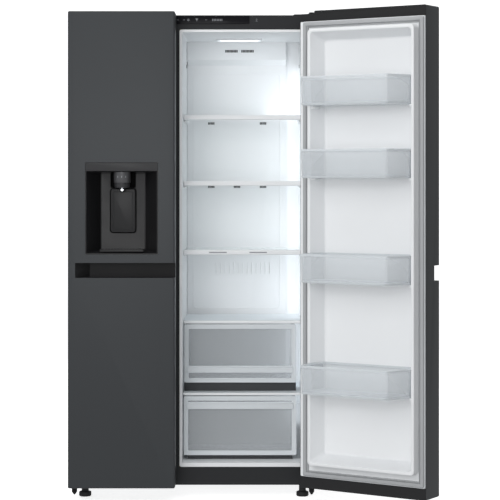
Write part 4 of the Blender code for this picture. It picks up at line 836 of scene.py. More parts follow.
# ---- Control strip ----
class FRIDGE_OT_control_strip(bpy.types.Operator):
    """Makes the gloss strip over the compartment, with its small printed icons"""

    bl_idname = "fridge.control_strip"
    bl_label = "Control strip"

    def execute(self, context):
        seat = Seat("control_panel")
        shape = pillow(seat.front(), 0.0025, "Y", seat.y0, seat.y1, 0.0008)
        make("control_strip", shape, "strip", "case", ("control_panel",))
        face = seat.y0
        make("control_icons", merge(self.icons(seat, face)), "icon", "case")
        plate = Seat("front_frame").y0
        spot = seat.x1 + 0.0265
        mark = (
            self.bar(spot, seat.mid_z - 0.0045, 0.0042, 0.0005, plate),
            self.bar(spot, seat.mid_z + 0.0010, 0.0030, 0.0005, plate),
            self.bar(spot, seat.mid_z - 0.0018, 0.0005, 0.0030, plate),
            self.bar(spot, seat.mid_z + 0.0050, 0.0016, 0.0005, plate),
        )
        make("frame_icon", merge(mark), "icon", "case")
        return {"FINISHED"}

    def bar(self, x, z, half_width, half_height, face):
        return box(
            x - half_width, x + half_width, face - 0.00015, face + 0.0002, z - half_height, z + half_height
        )

    def icons(self, seat, face):
        """A snowflake, a filter funnel, small dashes and a row of level bars."""
        row = seat.mid_z
        width = seat.x1 - seat.x0
        shapes = []
        flake = seat.x0 + width * 0.166
        for turn in range(3):
            arm = self.bar(0.0, 0.0, 0.0052, 0.0005, 0.0)
            twig_left = self.bar(0.0033, 0.0, 0.0004, 0.0016, 0.0)
            twig_right = self.bar(-0.0033, 0.0, 0.0004, 0.0016, 0.0)
            whole = merge((arm, twig_left, twig_right))
            spin = Matrix.Rotation(math.radians(60 * turn + 90), 4, "Y")
            move = Matrix.Translation((flake, face, row)) @ spin
            bmesh.ops.transform(whole, matrix=move, verts=whole.verts)
            shapes.append(whole)
        funnel = seat.x0 + width * 0.281
        outline = (
            (funnel - 0.005, row + 0.005),
            (funnel + 0.005, row + 0.005),
            (funnel + 0.001, row - 0.0005),
            (funnel + 0.001, row - 0.005),
            (funnel - 0.001, row - 0.004),
            (funnel - 0.001, row - 0.0005),
        )
        shapes.append(prism(outline, "Y", face - 0.00015, face + 0.0002))
        for share in (0.020, 0.107, 0.409):
            shapes.append(self.bar(seat.x0 + width * share, row, 0.0035, 0.0007, face))
        for step in range(7):
            shapes.append(self.bar(seat.x0 + width * (0.497 + 0.021 * step), row, 0.0012, 0.0038, face))
        return shapes


# ---- Fresh food compartment ----
DUCT_FACE = 0.0257
VENT_SIZE = (0.026, 0.010)
VENT_ROWS = ((1.400, (0.054, 0.261)), (1.147, (0.054, 0.157, 0.261)))
LOUVRE_SIZE = (0.050, 0.011)
LOUVRE_LEVEL = 1.6865
LOUVRE_CENTRES = (0.135, 0.199)
RIB_COUNT = 13
RIB_PITCH = 0.0178
RIB_WIDTH = 0.0030
RIB_LOW, RIB_HIGH = 0.800, 0.846
PANEL_LOW, PANEL_HIGH = 0.66, 1.60
LINER_INSIDE = 0.0094


class FRIDGE_OT_compartment(bpy.types.Operator):
    """Finishes the liners, the air duct with its vents and louvres, the lamp and the shelf ribs"""

    bl_idname = "fridge.compartment"
    bl_label = "Compartments"

    def execute(self, context):
        keep("fresh_food_liner", "liner", 0.0012)
        keep("freezer_liner", "liner", 0.0012)
        keep("air_duct_panel", "liner", 0.0025)
        self.duct_vents()
        self.duct_lines()
        self.lamp()
        self.wall_ribs()
        return {"FINISHED"}

    def duct_vents(self):
        """Dark backs, painted shade behind the duct's vents, and thin slats in them."""
        duct = Seat("air_duct_panel")
        face = duct.y1 - DUCT_FACE
        shade_backs, slats = [], []
        for level, centres in VENT_ROWS:
            for centre in centres:
                shade_backs.append(self.vent_shade_back(centre, level, *VENT_SIZE, face))
                slats += self.vent_slats(centre, level, *VENT_SIZE, face, 5)
        for centre in LOUVRE_CENTRES:
            shade_backs.append(self.vent_shade_back(centre, LOUVRE_LEVEL, *LOUVRE_SIZE, duct.y0))
            slats += self.vent_slats(centre, LOUVRE_LEVEL, *LOUVRE_SIZE, duct.y0, 9)
        make("vent_backs", merge(shade_backs), "vent_dark", "case")
        make("vent_slats", merge(slats), "liner", "case")

    def vent_shade_back(self, centre, level, width, height, front):
        half = width / 2 - 0.0004
        tall = height / 2 - 0.0004
        return box(centre - half, centre + half, front + 0.0095, front + 0.0115, level - tall, level + tall)

    def vent_slats(self, centre, level, width, height, front, count):
        slats = []
        z0, z1 = level - height / 2, level + height / 2
        for step in range(1, count):
            x = centre - width / 2 + width * step / count
            slats.append(box(x - 0.0006, x + 0.0006, front + 0.0005, front + 0.0095, z0, z1))
        return slats

    def duct_lines(self):
        """The duct cover's raised middle, the fine upright ribs low on it and its left edge."""
        duct = Seat("air_duct_panel")
        face = duct.y1 - DUCT_FACE
        shapes = []
        left = duct.x0 + 0.112
        for step in range(RIB_COUNT):
            x = left + step * RIB_PITCH
            rib = (x, x + RIB_WIDTH, RIB_LOW, RIB_HIGH)
            shapes.append(pillow(rib, 0.0014, "Y", face - 0.0016, face + 0.001, 0.0012))
        limits = (duct.x0 + 0.020, duct.x1 - 0.020, PANEL_LOW, PANEL_HIGH)
        ring = frame_ring(limits, grown(limits, -0.004), 0.016, "Y", face - 0.0012, face + 0.001)
        shapes.append(ring)
        wall, reach = Seat("fresh_food_liner").x0 + LINER_INSIDE, duct.x0 + 0.0015
        shapes.append(box(wall, reach, face + 0.0020, face + 0.0035, duct.z0, duct.z1 - 0.092))
        shapes.append(box(wall, reach, duct.y0 + 0.0030, duct.y0 + 0.0045, duct.z1 - 0.078, duct.z1 - 0.004))
        make("duct_ribs", merge(shapes), "liner", "case")

    def lamp(self):
        seat = Seat("light_cover")
        shape = pillow(seat.plan(), 0.012, "Z", seat.z0, seat.z1, 0.002)
        make("lamp_cover", shape, "lamp_cover", "case", ("light_cover",))
        strip = (seat.x0 + 0.010, seat.x1 - 0.010, seat.y0 + 0.006, seat.mid_y)
        shape = pillow(strip, 0.004, "Z", seat.z0 - 0.0006, seat.z0 + 0.0006, 0.0004)
        make("lamp_strip", shape, "lamp", "case")
        outer, inner = grown(seat.plan(), 0.006), grown(seat.plan(), 0.0006)
        rim = frame_ring(outer, inner, 0.016, "Z", seat.z1 - 0.004, seat.z1)
        make("lamp_rim", rim, "liner", "case")

    def wall_ribs(self):
        """Shelf ledges formed in the side walls, and dark pads of painted shade for the notches."""
        liner = Seat("fresh_food_liner")
        left, right = liner.x0 + 0.009, liner.x1 - 0.009
        shapes = []
        levels = [Seat(f"shelf_trim_{n}").z0 for n in (1, 2, 3)]
        levels += [Seat("crisper_cover").z0, Seat("crisper_divider").z0]
        back = Seat("shelf_glass_1").y1
        for level in levels:
            for wall, out in ((left, 1), (right, -1)):
                x0, x1 = sorted((wall - out * 0.001, wall + out * 0.007))
                for y0, y1 in ((0.30, 0.36), (0.42, 0.48), (0.54, back)):
                    limits = (y0, y1, level - 0.0075, level - 0.0006)
                    shapes.append(pillow(limits, 0.003, "X", x0, x1, 0.001, 0.001, 2))
        make("shelf_ledges", merge(shapes), "liner", "case")
        # Dark pads: painted shade in the shelf notches.
        pads = []
        for wall, out in ((left, 1), (right, -1)):
            x0, x1 = sorted((wall - out * 0.001, wall + out * 0.0012))
            pads.append(pillow((0.585, 0.610, 1.618, 1.632), 0.004, "X", x0, x1, 0.0004, 0.0004, 2))
        make("shelf_notches", merge(pads), "vent_dark", "case")


# ---- Shelves ----
class FRIDGE_OT_shelves(bpy.types.Operator):
    """Makes the shelves' moulded trims and rails round their glass, and the drawers' cover and divider"""

    bl_idname = "fridge.shelves"
    bl_label = "Shelves"

    def execute(self, context):
        edge = context.scene.fridge_sizes.trim_round
        for number in (1, 2, 3):
            self.shelf(number, edge)
        for node, look in (("crisper_cover", "frosted"), ("crisper_divider", "frosted")):
            seat = Seat(node)
            front = (seat.x0, seat.x1, seat.z0, seat.z1)
            nose = pillow(front, 0.002, "Y", seat.y0, seat.y0 + 0.016, 0.003, 0.001)
            level = (seat.x0, seat.x1, seat.y0 + 0.017, seat.y1)
            plate = pillow(level, 0.004, "Z", seat.z0 + 0.002, seat.z1 - 0.001)
            make(f"{node}_trim", nose, "liner", "case", (node,), 0.0)
            make(f"{node}_plate", plate, look, "case")
        return {"FINISHED"}

    def shelf(self, number, edge):
        trim, pane = Seat(f"shelf_trim_{number}"), Seat(f"shelf_glass_{number}")
        keep(f"shelf_glass_{number}", "glass", 0.0006)
        depth = 0.022
        front, top, base = trim.y0, trim.z1, trim.z0
        outline = [(front + depth, top), (front + depth, pane.z1 + 0.0003), (front + 0.006, pane.z1 + 0.0003)]
        outline += [(front + 0.006, pane.z0 - 0.0003), (front + depth, pane.z0 - 0.0003)]
        outline += [(front + depth, base + 0.004), (front + depth - 0.003, base)]
        for turn in range(0, 91, 15):
            angle = math.radians(turn)
            outline.append((front + edge - edge * math.sin(angle), base + edge - edge * math.cos(angle)))
        for turn in range(0, 91, 15):
            angle = math.radians(turn)
            outline.append((front + edge - edge * math.cos(angle), top - edge + edge * math.sin(angle)))
        shapes = [prism(outline, "X", trim.x0, trim.x1)]
        for x0, x1 in ((trim.x0, trim.x0 + 0.008), (trim.x1 - 0.008, trim.x1)):
            limits = (x0, x1, base, pane.z0 - 0.0003)
            shapes.append(pillow(limits, 0.0015, "Y", front + depth - 0.002, trim.y1, 0.001, 0.001, 2))
        node = f"shelf_trim_{number}"
        make(f"{node}_moulding", merge(shapes), "liner", "case", (node,))
        if number == 3:
            bars = []
            for x0, x1 in ((0.054, 0.121), (0.207, 0.273)):
                limits = (x0, x1, trim.mid_z - 0.0022, trim.mid_z + 0.0022)
                bars.append(pillow(limits, 0.001, "Y", front - 0.0003, front + 0.0004, 0.0002))
            make("shelf_trim_3_bars", merge(bars), "shelf_bar", "case")


# ---- Drawers and tubs ----
def soft_tub(limits, floor_inset, wall, base, top, corner):
    """An open tub with a rounded foot and rim, its floor smaller than its mouth."""
    foot = grown(limits, -floor_inset)
    sections = []
    for inset, rise in quarter(0.008, 4):
        sections.append((rect(grown(foot, -inset), corner), base + rise))
    sections.append((rect(limits, corner), top - 0.001))
    sections.append((rect(grown(limits, -0.001), corner), top))
    sections.append((rect(grown(limits, -wall + 0.001), corner), top))
    sections.append((rect(grown(limits, -wall), corner), top - 0.001))
    inner = grown(foot, -wall)
    for inset, rise in reversed(quarter(0.006, 4)):
        sections.append((rect(grown(inner, -inset), corner - 0.001), base + wall + rise))
    return stack(sections, "Z")


def rim_ring(limits, wall, top, height, corner, out=0.002):
    """The thick rim round a tub's mouth."""
    return stack(
        (
            (rect(grown(limits, out), corner), top - height),
            (rect(grown(limits, out), corner), top + 0.0004),
            (rect(grown(limits, out - 0.0012), corner), top + 0.0014),
            (rect(grown(limits, -wall - 0.0002), corner), top + 0.0014),
            (rect(grown(limits, -wall - 0.0012), corner), top + 0.0004),
            (rect(grown(limits, -wall - 0.0012), corner), top - height),
        ),
        "Z",
        ring=True,
    )


class FRIDGE_OT_drawers(bpy.types.Operator):
    """Makes the two clear drawers with their frosted frames and grips"""

    bl_idname = "fridge.drawers"
    bl_label = "Drawers"

    def execute(self, context):
        sizes = context.scene.fridge_sizes
        self.drawer("upper_crisper", 0.050, sizes)
        self.drawer("lower_crisper", 0.186, sizes)
        self.gap_shade_panels()
        return {"FINISHED"}

    def gap_shade_panels(self):
        """Dark panels in the gaps under the drawers: painted shade where the gaps fall dark."""
        upper, lower = Seat("upper_crisper"), Seat("lower_crisper")
        divider, liner = Seat("crisper_divider"), Seat("fresh_food_liner")
        high = (upper.x0, upper.x1, divider.z1 + 0.0004, upper.z0 - 0.0008)
        low = (lower.x0 + 0.014, lower.x1 - 0.014, liner.z0 + 0.0149, lower.z0 - 0.0008)
        panels = (
            pillow(high, 0.002, "Y", upper.y0 + 0.010, upper.y0 + 0.014, 0.0008),
            pillow(low, 0.002, "Y", lower.y0 + 0.014, lower.y0 + 0.018, 0.0008),
        )
        make("drawer_gap_panels", merge(panels), "vent_dark", "case")

    def drawer(self, node, grip_rise, sizes):
        seat = Seat(node)
        tub_limits = (seat.x0 + 0.004, seat.x1 - 0.004, seat.y0 + 0.006, seat.y1)
        tub = soft_tub(tub_limits, 0.006, 0.0028, seat.z0, seat.z1 - 0.002, 0.012)
        make(f"{node}_tub", tub, "clear", node, (node,))
        rim = rim_ring(grown(tub_limits, -0.002), 0.0010, seat.z1 - 0.0022, 0.006, 0.011, 0.002)
        make(f"{node}_rim", rim, "clear_rim", node)
        front = (seat.x0, seat.x1, seat.z0, seat.z1)
        face = seat.y0
        pane = pillow(grown(front, -0.004), 0.010, "Y", face + 0.0012, face + 0.0040, 0.0006)
        make(f"{node}_face", pane, "clear", node)
        width = sizes.drawer_frame
        ring = frame_ring(front, grown(front, -width), 0.005, "Y", face, face + 0.0058, 0.0012)
        make(f"{node}_frame", ring, "frosted", node)
        base = seat.z0 + grip_rise - sizes.drawer_grip / 2
        limits = (seat.x0 + width * 0.6, seat.x1 - width * 0.6, base, base + sizes.drawer_grip)
        grip = pillow(limits, 0.008, "Y", face - 0.0045, face + 0.003, 0.0035, 0.0, 5)
        lip = pillow(
            (limits[0] + 0.004, limits[1] - 0.004, limits[3] - 0.006, limits[3] - 0.001),
            0.002, "Y", face - 0.0075, face - 0.002, 0.0018, 0.0, 4,
        )
        make(f"{node}_grip", merge((grip, lip)), "frosted", node)


class FRIDGE_OT_freezer_inside(bpy.types.Operator):
    """Makes the freezer's shelves, basket and ice bucket, and finishes the evaporator"""

    bl_idname = "fridge.freezer_inside"
    bl_label = "Freezer inside"

    def execute(self, context):
        for number in (1, 2):
            node = f"freezer_shelf_{number}"
            seat = Seat(node)
            plate = pillow(seat.plan(), 0.006, "Z", seat.z0, seat.z1, 0.0012, 0.0012, 3)
            make(f"{node}_plate", plate, "clear_rim", "case", (node,))
            front = (seat.x0, seat.x1, seat.z0 - 0.008, seat.z1 + 0.003)
            nose = pillow(front, 0.003, "Y", seat.y0 - 0.002, seat.y0 + 0.010, 0.003, 0.001)
            make(f"{node}_nose", nose, "frosted", "case")
        for node in ("freezer_basket", "ice_maker"):
            seat = Seat(node)
            tub = soft_tub(seat.plan(), 0.006, 0.003, seat.z0, seat.z1, 0.012)
            make(f"{node}_tub", tub, "clear", "case", (node,))
            rim = rim_ring(seat.plan(), 0.003, seat.z1 - 0.0016, 0.006, 0.013)
            make(f"{node}_rim", rim, "clear_rim", "case")
        keep("evaporator", "aluminium")
        return {"FINISHED"}


# ---- Doors ----
DOOR_BACK = 0.1068
NOTCH_INSET = 0.097
NOTCH_DROP = 0.010
CAVITY_FRONT = 0.050


def door_sign(name):
    """1 for the door hinged on the right, -1 for the one hinged on the left."""
    return 1 if name == "fresh_door" else -1


def pocket_outline(free, ramp_end, ramp, depth, sign):
    """The handle pocket from above: flat along most of its length, then a ramp out at the hinge end."""
    past = 0.02
    beyond = ramp_end + sign * ramp / depth * past
    return [
        (free - sign * past, -past),
        (free - sign * past, depth),
        (ramp_end - sign * ramp, depth),
        (beyond, -past),
    ]


class FRIDGE_OT_doors(bpy.types.Operator):
    """Makes both steel door shells with their rounded edges, handle pockets, hinge notches and end caps"""

    bl_idname = "fridge.doors"
    bl_label = "Door shells"

    def execute(self, context):
        sizes = context.scene.fridge_sizes
        for name in ("freezer_door", "fresh_door"):
            self.shell(name, sizes)
            self.end_caps(name)
        return {"FINISHED"}

    def shell(self, name, sizes):
        seat = Seat(f"{name}_shell")
        sign = door_sign(name)
        limits = seat.front()
        outer = pillow(limits, 0.006, "Y", seat.y0, DOOR_BACK, sizes.door_edge, 0.0, 6)
        piece = make(f"{name}_skin", outer, "black_steel", name, (f"{name}_shell",))
        inside = (seat.x0 + 0.0015, seat.x1 - 0.0015, seat.z0 + 0.014, seat.z1 - 0.014)
        hollow = prism(rect(inside, 0.004), "Y", CAVITY_FRONT, DOOR_BACK + 0.02)
        cutters = [cut(piece, f"{name}_hollow", hollow, "moulding", name)]
        free, hinge = (seat.x0, seat.x1) if sign > 0 else (seat.x1, seat.x0)
        outline = pocket_outline(free, hinge - sign * 0.027, 0.050, 0.042, sign)
        # The pocket's cut faces take the darker pocket look: painted shade inside the pocket.
        pocket = prism(outline, "Z", 0.819, 0.873)
        cutters.append(cut(piece, f"{name}_pocket", pocket, "pocket", name))
        near = hinge - sign * NOTCH_INSET
        far = hinge + sign * 0.01
        notch = box(min(near, far), max(near, far), 0.007, DOOR_BACK + 0.02, seat.z1 - 0.010, seat.z1 + 0.01)
        cutters.append(cut(piece, f"{name}_notch", notch, "moulding", name))
        if name == "freezer_door":
            tub = Seat("dispenser_housing")
            opening = rect(grown(tub.front(), 0.0003), 0.0032)
            cutters.append(cut(piece, "dispenser_opening", prism(opening, "Y", -0.01, 0.092), "recess", name))
        settle(piece, cutters, sizes.pocket_lip, 28.0)

    def end_caps(self, name):
        """Moulded caps over the shell's top and bottom, seen as dark bands beside the seal."""
        seat = Seat(f"{name}_shell")
        seal = Seat(f"{name}_gasket")
        sign = door_sign(name)
        back = seat.y1
        x0, x1 = seat.x0 + 0.0004, seat.x1 - 0.0004
        hinge = seat.x1 if sign > 0 else seat.x0
        notch_edge = hinge - sign * (NOTCH_INSET + 0.0005)
        low_x, high_x = (x0, notch_edge) if sign > 0 else (notch_edge, x1)
        caps = (
            (x0, x1, seat.z0 + 0.0004, seal.z0 - 0.0012),
            (x0, x1, seal.z1 + 0.0012, seat.z1 - 0.0104),
            (low_x, high_x, seat.z1 - 0.0108, seat.z1 - 0.0004),
        )
        shapes = [pillow(limits, 0.002, "Y", DOOR_BACK, back, 0.0, 0.0008) for limits in caps]
        make(f"{name}_end_caps", merge(shapes), "moulding", name)
        plugs = []
        plug = ((0.006, back - 0.0004), (0.006, back + 0.0004), (0.0052, back + 0.0008))
        for x in (seat.x0 + 0.05, seat.mid_x, seat.x1 - 0.09):
            plugs.append(lathe(plug, (x, seat.z0 + 0.020), "Y", 32))
        make(f"{name}_cap_plugs", merge(plugs), "moulding", name)
        inner, outer = sorted((notch_edge + sign * 0.0012, notch_edge + sign * 0.0400))
        limits = (inner, outer, 0.0090, back - 0.0004)
        cover = pillow(limits, 0.004, "Z", seat.z1 - NOTCH_DROP + 0.0003, seat.z1 + 0.0004, 0.0, 0.0014)
        button = lathe(
            ((0.0055, seat.z1 - 0.0012), (0.0055, seat.z1 + 0.0006), (0.0042, seat.z1 + 0.0014)),
            (hinge - sign * 0.246, back - 0.016),
            steps=28,
        )
        shape = merge((cover, button))
        make(f"{name}_hinge_pocket_cover", shape, "moulding", name, bevel=0.0004)


class FRIDGE_OT_seals(bpy.types.Operator):
    """Makes the magnetic door seals, each with its soft bellows and a pale outer lip whose paleness is a
    painted highlight
    """

    bl_idname = "fridge.seals"
    bl_label = "Door seals"

    def execute(self, context):
        for name in ("freezer_door", "fresh_door"):
            self.seal(name)
        return {"FINISHED"}

    def seal(self, name):
        seat = Seat(f"{name}_gasket")
        outer = seat.front()
        base, top = seat.y0, seat.y1
        rise = top - base
        profile = (
            (0.0030, 0.0), (0.0030, 0.55), (0.0036, 0.80), (0.0050, 0.95), (0.0070, 1.0),
            (0.0150, 1.0), (0.0162, 0.92), (0.0168, 0.62), (0.0174, 0.40), (0.0184, 0.34), (0.0192, 0.44),
            (0.0196, 0.66), (0.0206, 0.76), (0.0220, 0.74), (0.0230, 0.60), (0.0230, 0.0),
        )
        sections = [
            (rect(grown(outer, -inset), max(0.006 - inset / 4, 0.0012)), base + rise * share)
            for inset, share in profile
        ]
        shape = stack(sections, "Y", ring=True)
        make(f"{name}_seal", shape, "seal", name, (f"{name}_gasket",), angle=50.0)
        # The pale lip paints the highlight along the seal's outer edge.
        lip = ((0.0, 0.0), (0.0, 0.26), (0.0006, 0.34), (0.0024, 0.34), (0.0030, 0.26), (0.0030, 0.0))
        sections = [(rect(grown(outer, -inset), 0.006), base + rise * share) for inset, share in lip]
        make(f"{name}_seal_lip", stack(sections, "Y", ring=True), "seal_edge", name)


# ---- Door liners ----
WALL_TOP_WIDTH = 0.013
RECESS_SLOPE = 0.022
RECESS_SLOPE_FREE = 0.008


def sloped(limits, sign, depth_share=1.0):
    """The recess floor's limits: its free side slopes less than the other three."""
    low_x, high_x, low_z, high_z = limits
    free, hinge = RECESS_SLOPE_FREE * depth_share, RECESS_SLOPE * depth_share
    if sign > 0:
        return low_x + free, high_x - hinge, low_z + hinge, high_z - hinge
    return low_x + hinge, high_x - free, low_z + hinge, high_z - hinge


def dyke_limits(name):
    """The raised wall's outer rectangle on a door's liner."""
    shell = Seat(f"{name}_shell")
    if name == "fresh_door":
        return shell.x0 + 0.027, shell.x1 - 0.0525, shell.z0 + 0.090, shell.z1 - 0.069
    return shell.x0 + 0.0525, shell.x1 - 0.030, shell.z0 + 0.090, shell.z1 - 0.069


class FRIDGE_OT_door_liners(bpy.types.Operator):
    """Makes the doors' formed liners with their raised walls and the ledges that carry the bins"""

    bl_idname = "fridge.door_liners"
    bl_label = "Door liners"

    def execute(self, context):
        radius = context.scene.fridge_sizes.dyke_round
        self.liner("fresh_door", 0.068, radius)
        self.liner("freezer_door", 0.046, radius)
        return {"FINISHED"}

    def liner(self, name, recess_depth, radius):
        seat = Seat(f"{name}_liner")
        sign = door_sign(name)
        top, face, back = seat.y1, seat.y1 - 0.0403, seat.y1 - 0.0423
        dyke = dyke_limits(name)
        inner = grown(dyke, -WALL_TOP_WIDTH)
        floor = top - recess_depth
        sections = []
        for inset, depth in quarter(0.010, 5):
            limits = grown(sloped(inner, sign), -inset)
            sections.append((rect(limits, 0.014 - inset * 0.8, 8), floor + depth))
        for drop, spread in quarter(radius * 0.6, 4):
            sections.append((rect(grown(inner, spread), 0.012, 8), top - drop))
        for inset, depth in quarter(radius * 0.6, 4):
            sections.append((rect(grown(dyke, -inset), 0.016 - inset, 8), top - depth))
        for lift, spread in quarter(0.004, 3):
            sections.append((rect(grown(dyke, spread), 0.017, 8), face + lift))
        flange = seat.front()
        sections += [
            (rect(flange, 0.003, 8), face),
            (rect(flange, 0.003, 8), back),
            (rect(grown(dyke, -0.002), 0.015, 8), back),
            (rect(grown(dyke, -0.002), 0.015, 8), top - 0.008),
            (rect(grown(inner, 0.002), 0.013, 8), top - 0.008),
            (rect(grown(sloped(inner, sign), 0.002), 0.012, 8), floor - 0.002),
        ]
        shape = stack(sections, "Y")
        make(f"{name}_inner_panel", shape, "liner", name, (f"{name}_liner",), angle=60.0)
        self.ledges(name, inner, sign, top, floor)

    def ledges(self, name, inner, sign, top, floor):
        """Small formed lugs either side of each bin."""
        shapes = []
        count = 4 if name == "fresh_door" else 2
        prefix = "fresh_bin_" if name == "fresh_door" else "freezer_bin_"
        for number in range(1, count + 1):
            level = Seat(f"{prefix}{number}").z0
            for wall, out, slope in ((inner[0], 1, sign > 0), (inner[1], -1, sign < 0)):
                lean = RECESS_SLOPE_FREE if slope else RECESS_SLOPE
                x0, x1 = sorted((wall - out * 0.001, wall + out * (lean * 0.6 + 0.004)))
                lug = (x0, x1, top - 0.050, top - 0.006)
                shapes.append(pillow(lug, 0.004, "Z", level - 0.010, level - 0.001, 0.002, 0.001, 3))
        make(f"{name}_bin_ledges", merge(shapes), "liner", name)


# ---- Door bins ----
BIN_TAPER = 0.013
BIN_TAPER_FREE = 0.040
BIN_WALL = 0.0028


class FRIDGE_OT_bins(bpy.types.Operator):
    """Makes the clear door bins with their rims and feet"""

    bl_idname = "fridge.bins"
    bl_label = "Door bins"

    def execute(self, context):
        rim_height = context.scene.fridge_sizes.bin_lip
        for number in range(1, 5):
            self.bin("fresh_door", f"fresh_bin_{number}", rim_height)
        for number in (1, 2):
            self.bin("freezer_door", f"freezer_bin_{number}", rim_height)
        return {"FINISHED"}

    def corners(self, seat, sign, waist, inset):
        """A bin's plan: narrow at the back, widest where it leaves the recess, tapered at the front."""
        x0, x1 = seat.x0 + inset, seat.x1 - inset
        back, front = seat.y0 + inset, seat.y1 - inset
        low_back, high_back = RECESS_SLOPE, RECESS_SLOPE_FREE
        low_front, high_front = BIN_TAPER, BIN_TAPER_FREE
        if sign > 0:
            low_back, high_back = high_back, low_back
            low_front, high_front = high_front, low_front
        return (
            (x0 + low_back, back),
            (x1 - high_back, back),
            (x1, waist),
            (x1 - high_front, front),
            (x0 + low_front, front),
            (x0, waist),
        )

    def bin(self, door, node, rim_height):
        seat = Seat(node)
        sign = door_sign(door)
        waist = Seat(f"{door}_liner").y1 + 0.002
        wall = BIN_WALL

        def plan(inset, radius=0.013):
            return rounded(self.corners(seat, sign, waist, inset), radius, 5)

        base, top = seat.z0, seat.z1
        sections = [(plan(inset + 0.002), base + rise) for inset, rise in quarter(0.007, 4)]
        sections += [
            (plan(0.0), top - 0.001),
            (plan(0.0008), top),
            (plan(wall - 0.0008), top),
            (plan(wall), top - 0.001),
        ]
        sections += [
            (plan(wall + inset + 0.002), base + wall + rise) for inset, rise in reversed(quarter(0.005, 4))
        ]
        make(f"{node}_tray", stack(sections, "Z"), "clear", door, (node,), angle=45.0)
        rim = (
            (plan(-0.0012), top - rim_height),
            (plan(-0.0016), top - 0.0005),
            (plan(-0.0004), top + 0.0008),
            (plan(wall), top + 0.0008),
            (plan(wall + 0.0010), top - 0.0004),
            (plan(wall + 0.0006), top - rim_height),
        )
        foot = (
            (plan(0.0045), base - 0.0008),
            (plan(0.0022), base + 0.0016),
            (plan(0.0010), base + 0.0062),
            (plan(0.0060), base + 0.0062),
            (plan(0.0100), base + 0.0010),
        )
        shapes = (stack(rim, "Z", ring=True), stack(foot, "Z", ring=True))
        make(f"{node}_rim", merge(shapes), "clear_rim", door, angle=45.0)


# ---- Dispenser ----
HEADER_HEIGHT = 0.0305
RECESS_DEPTH = 0.085
RECESS_BACK_HALF = 0.085
HOOD_HALF, HOOD_DROP = 0.046, 0.062
NOZZLE_RADIUS = 0.0305
NOZZLE_HEIGHT = 0.0385
# Turns of three lighter patches on the nozzle's front: painted highlights.
HIGHLIGHT_TURNS = (-28, 0, 28)


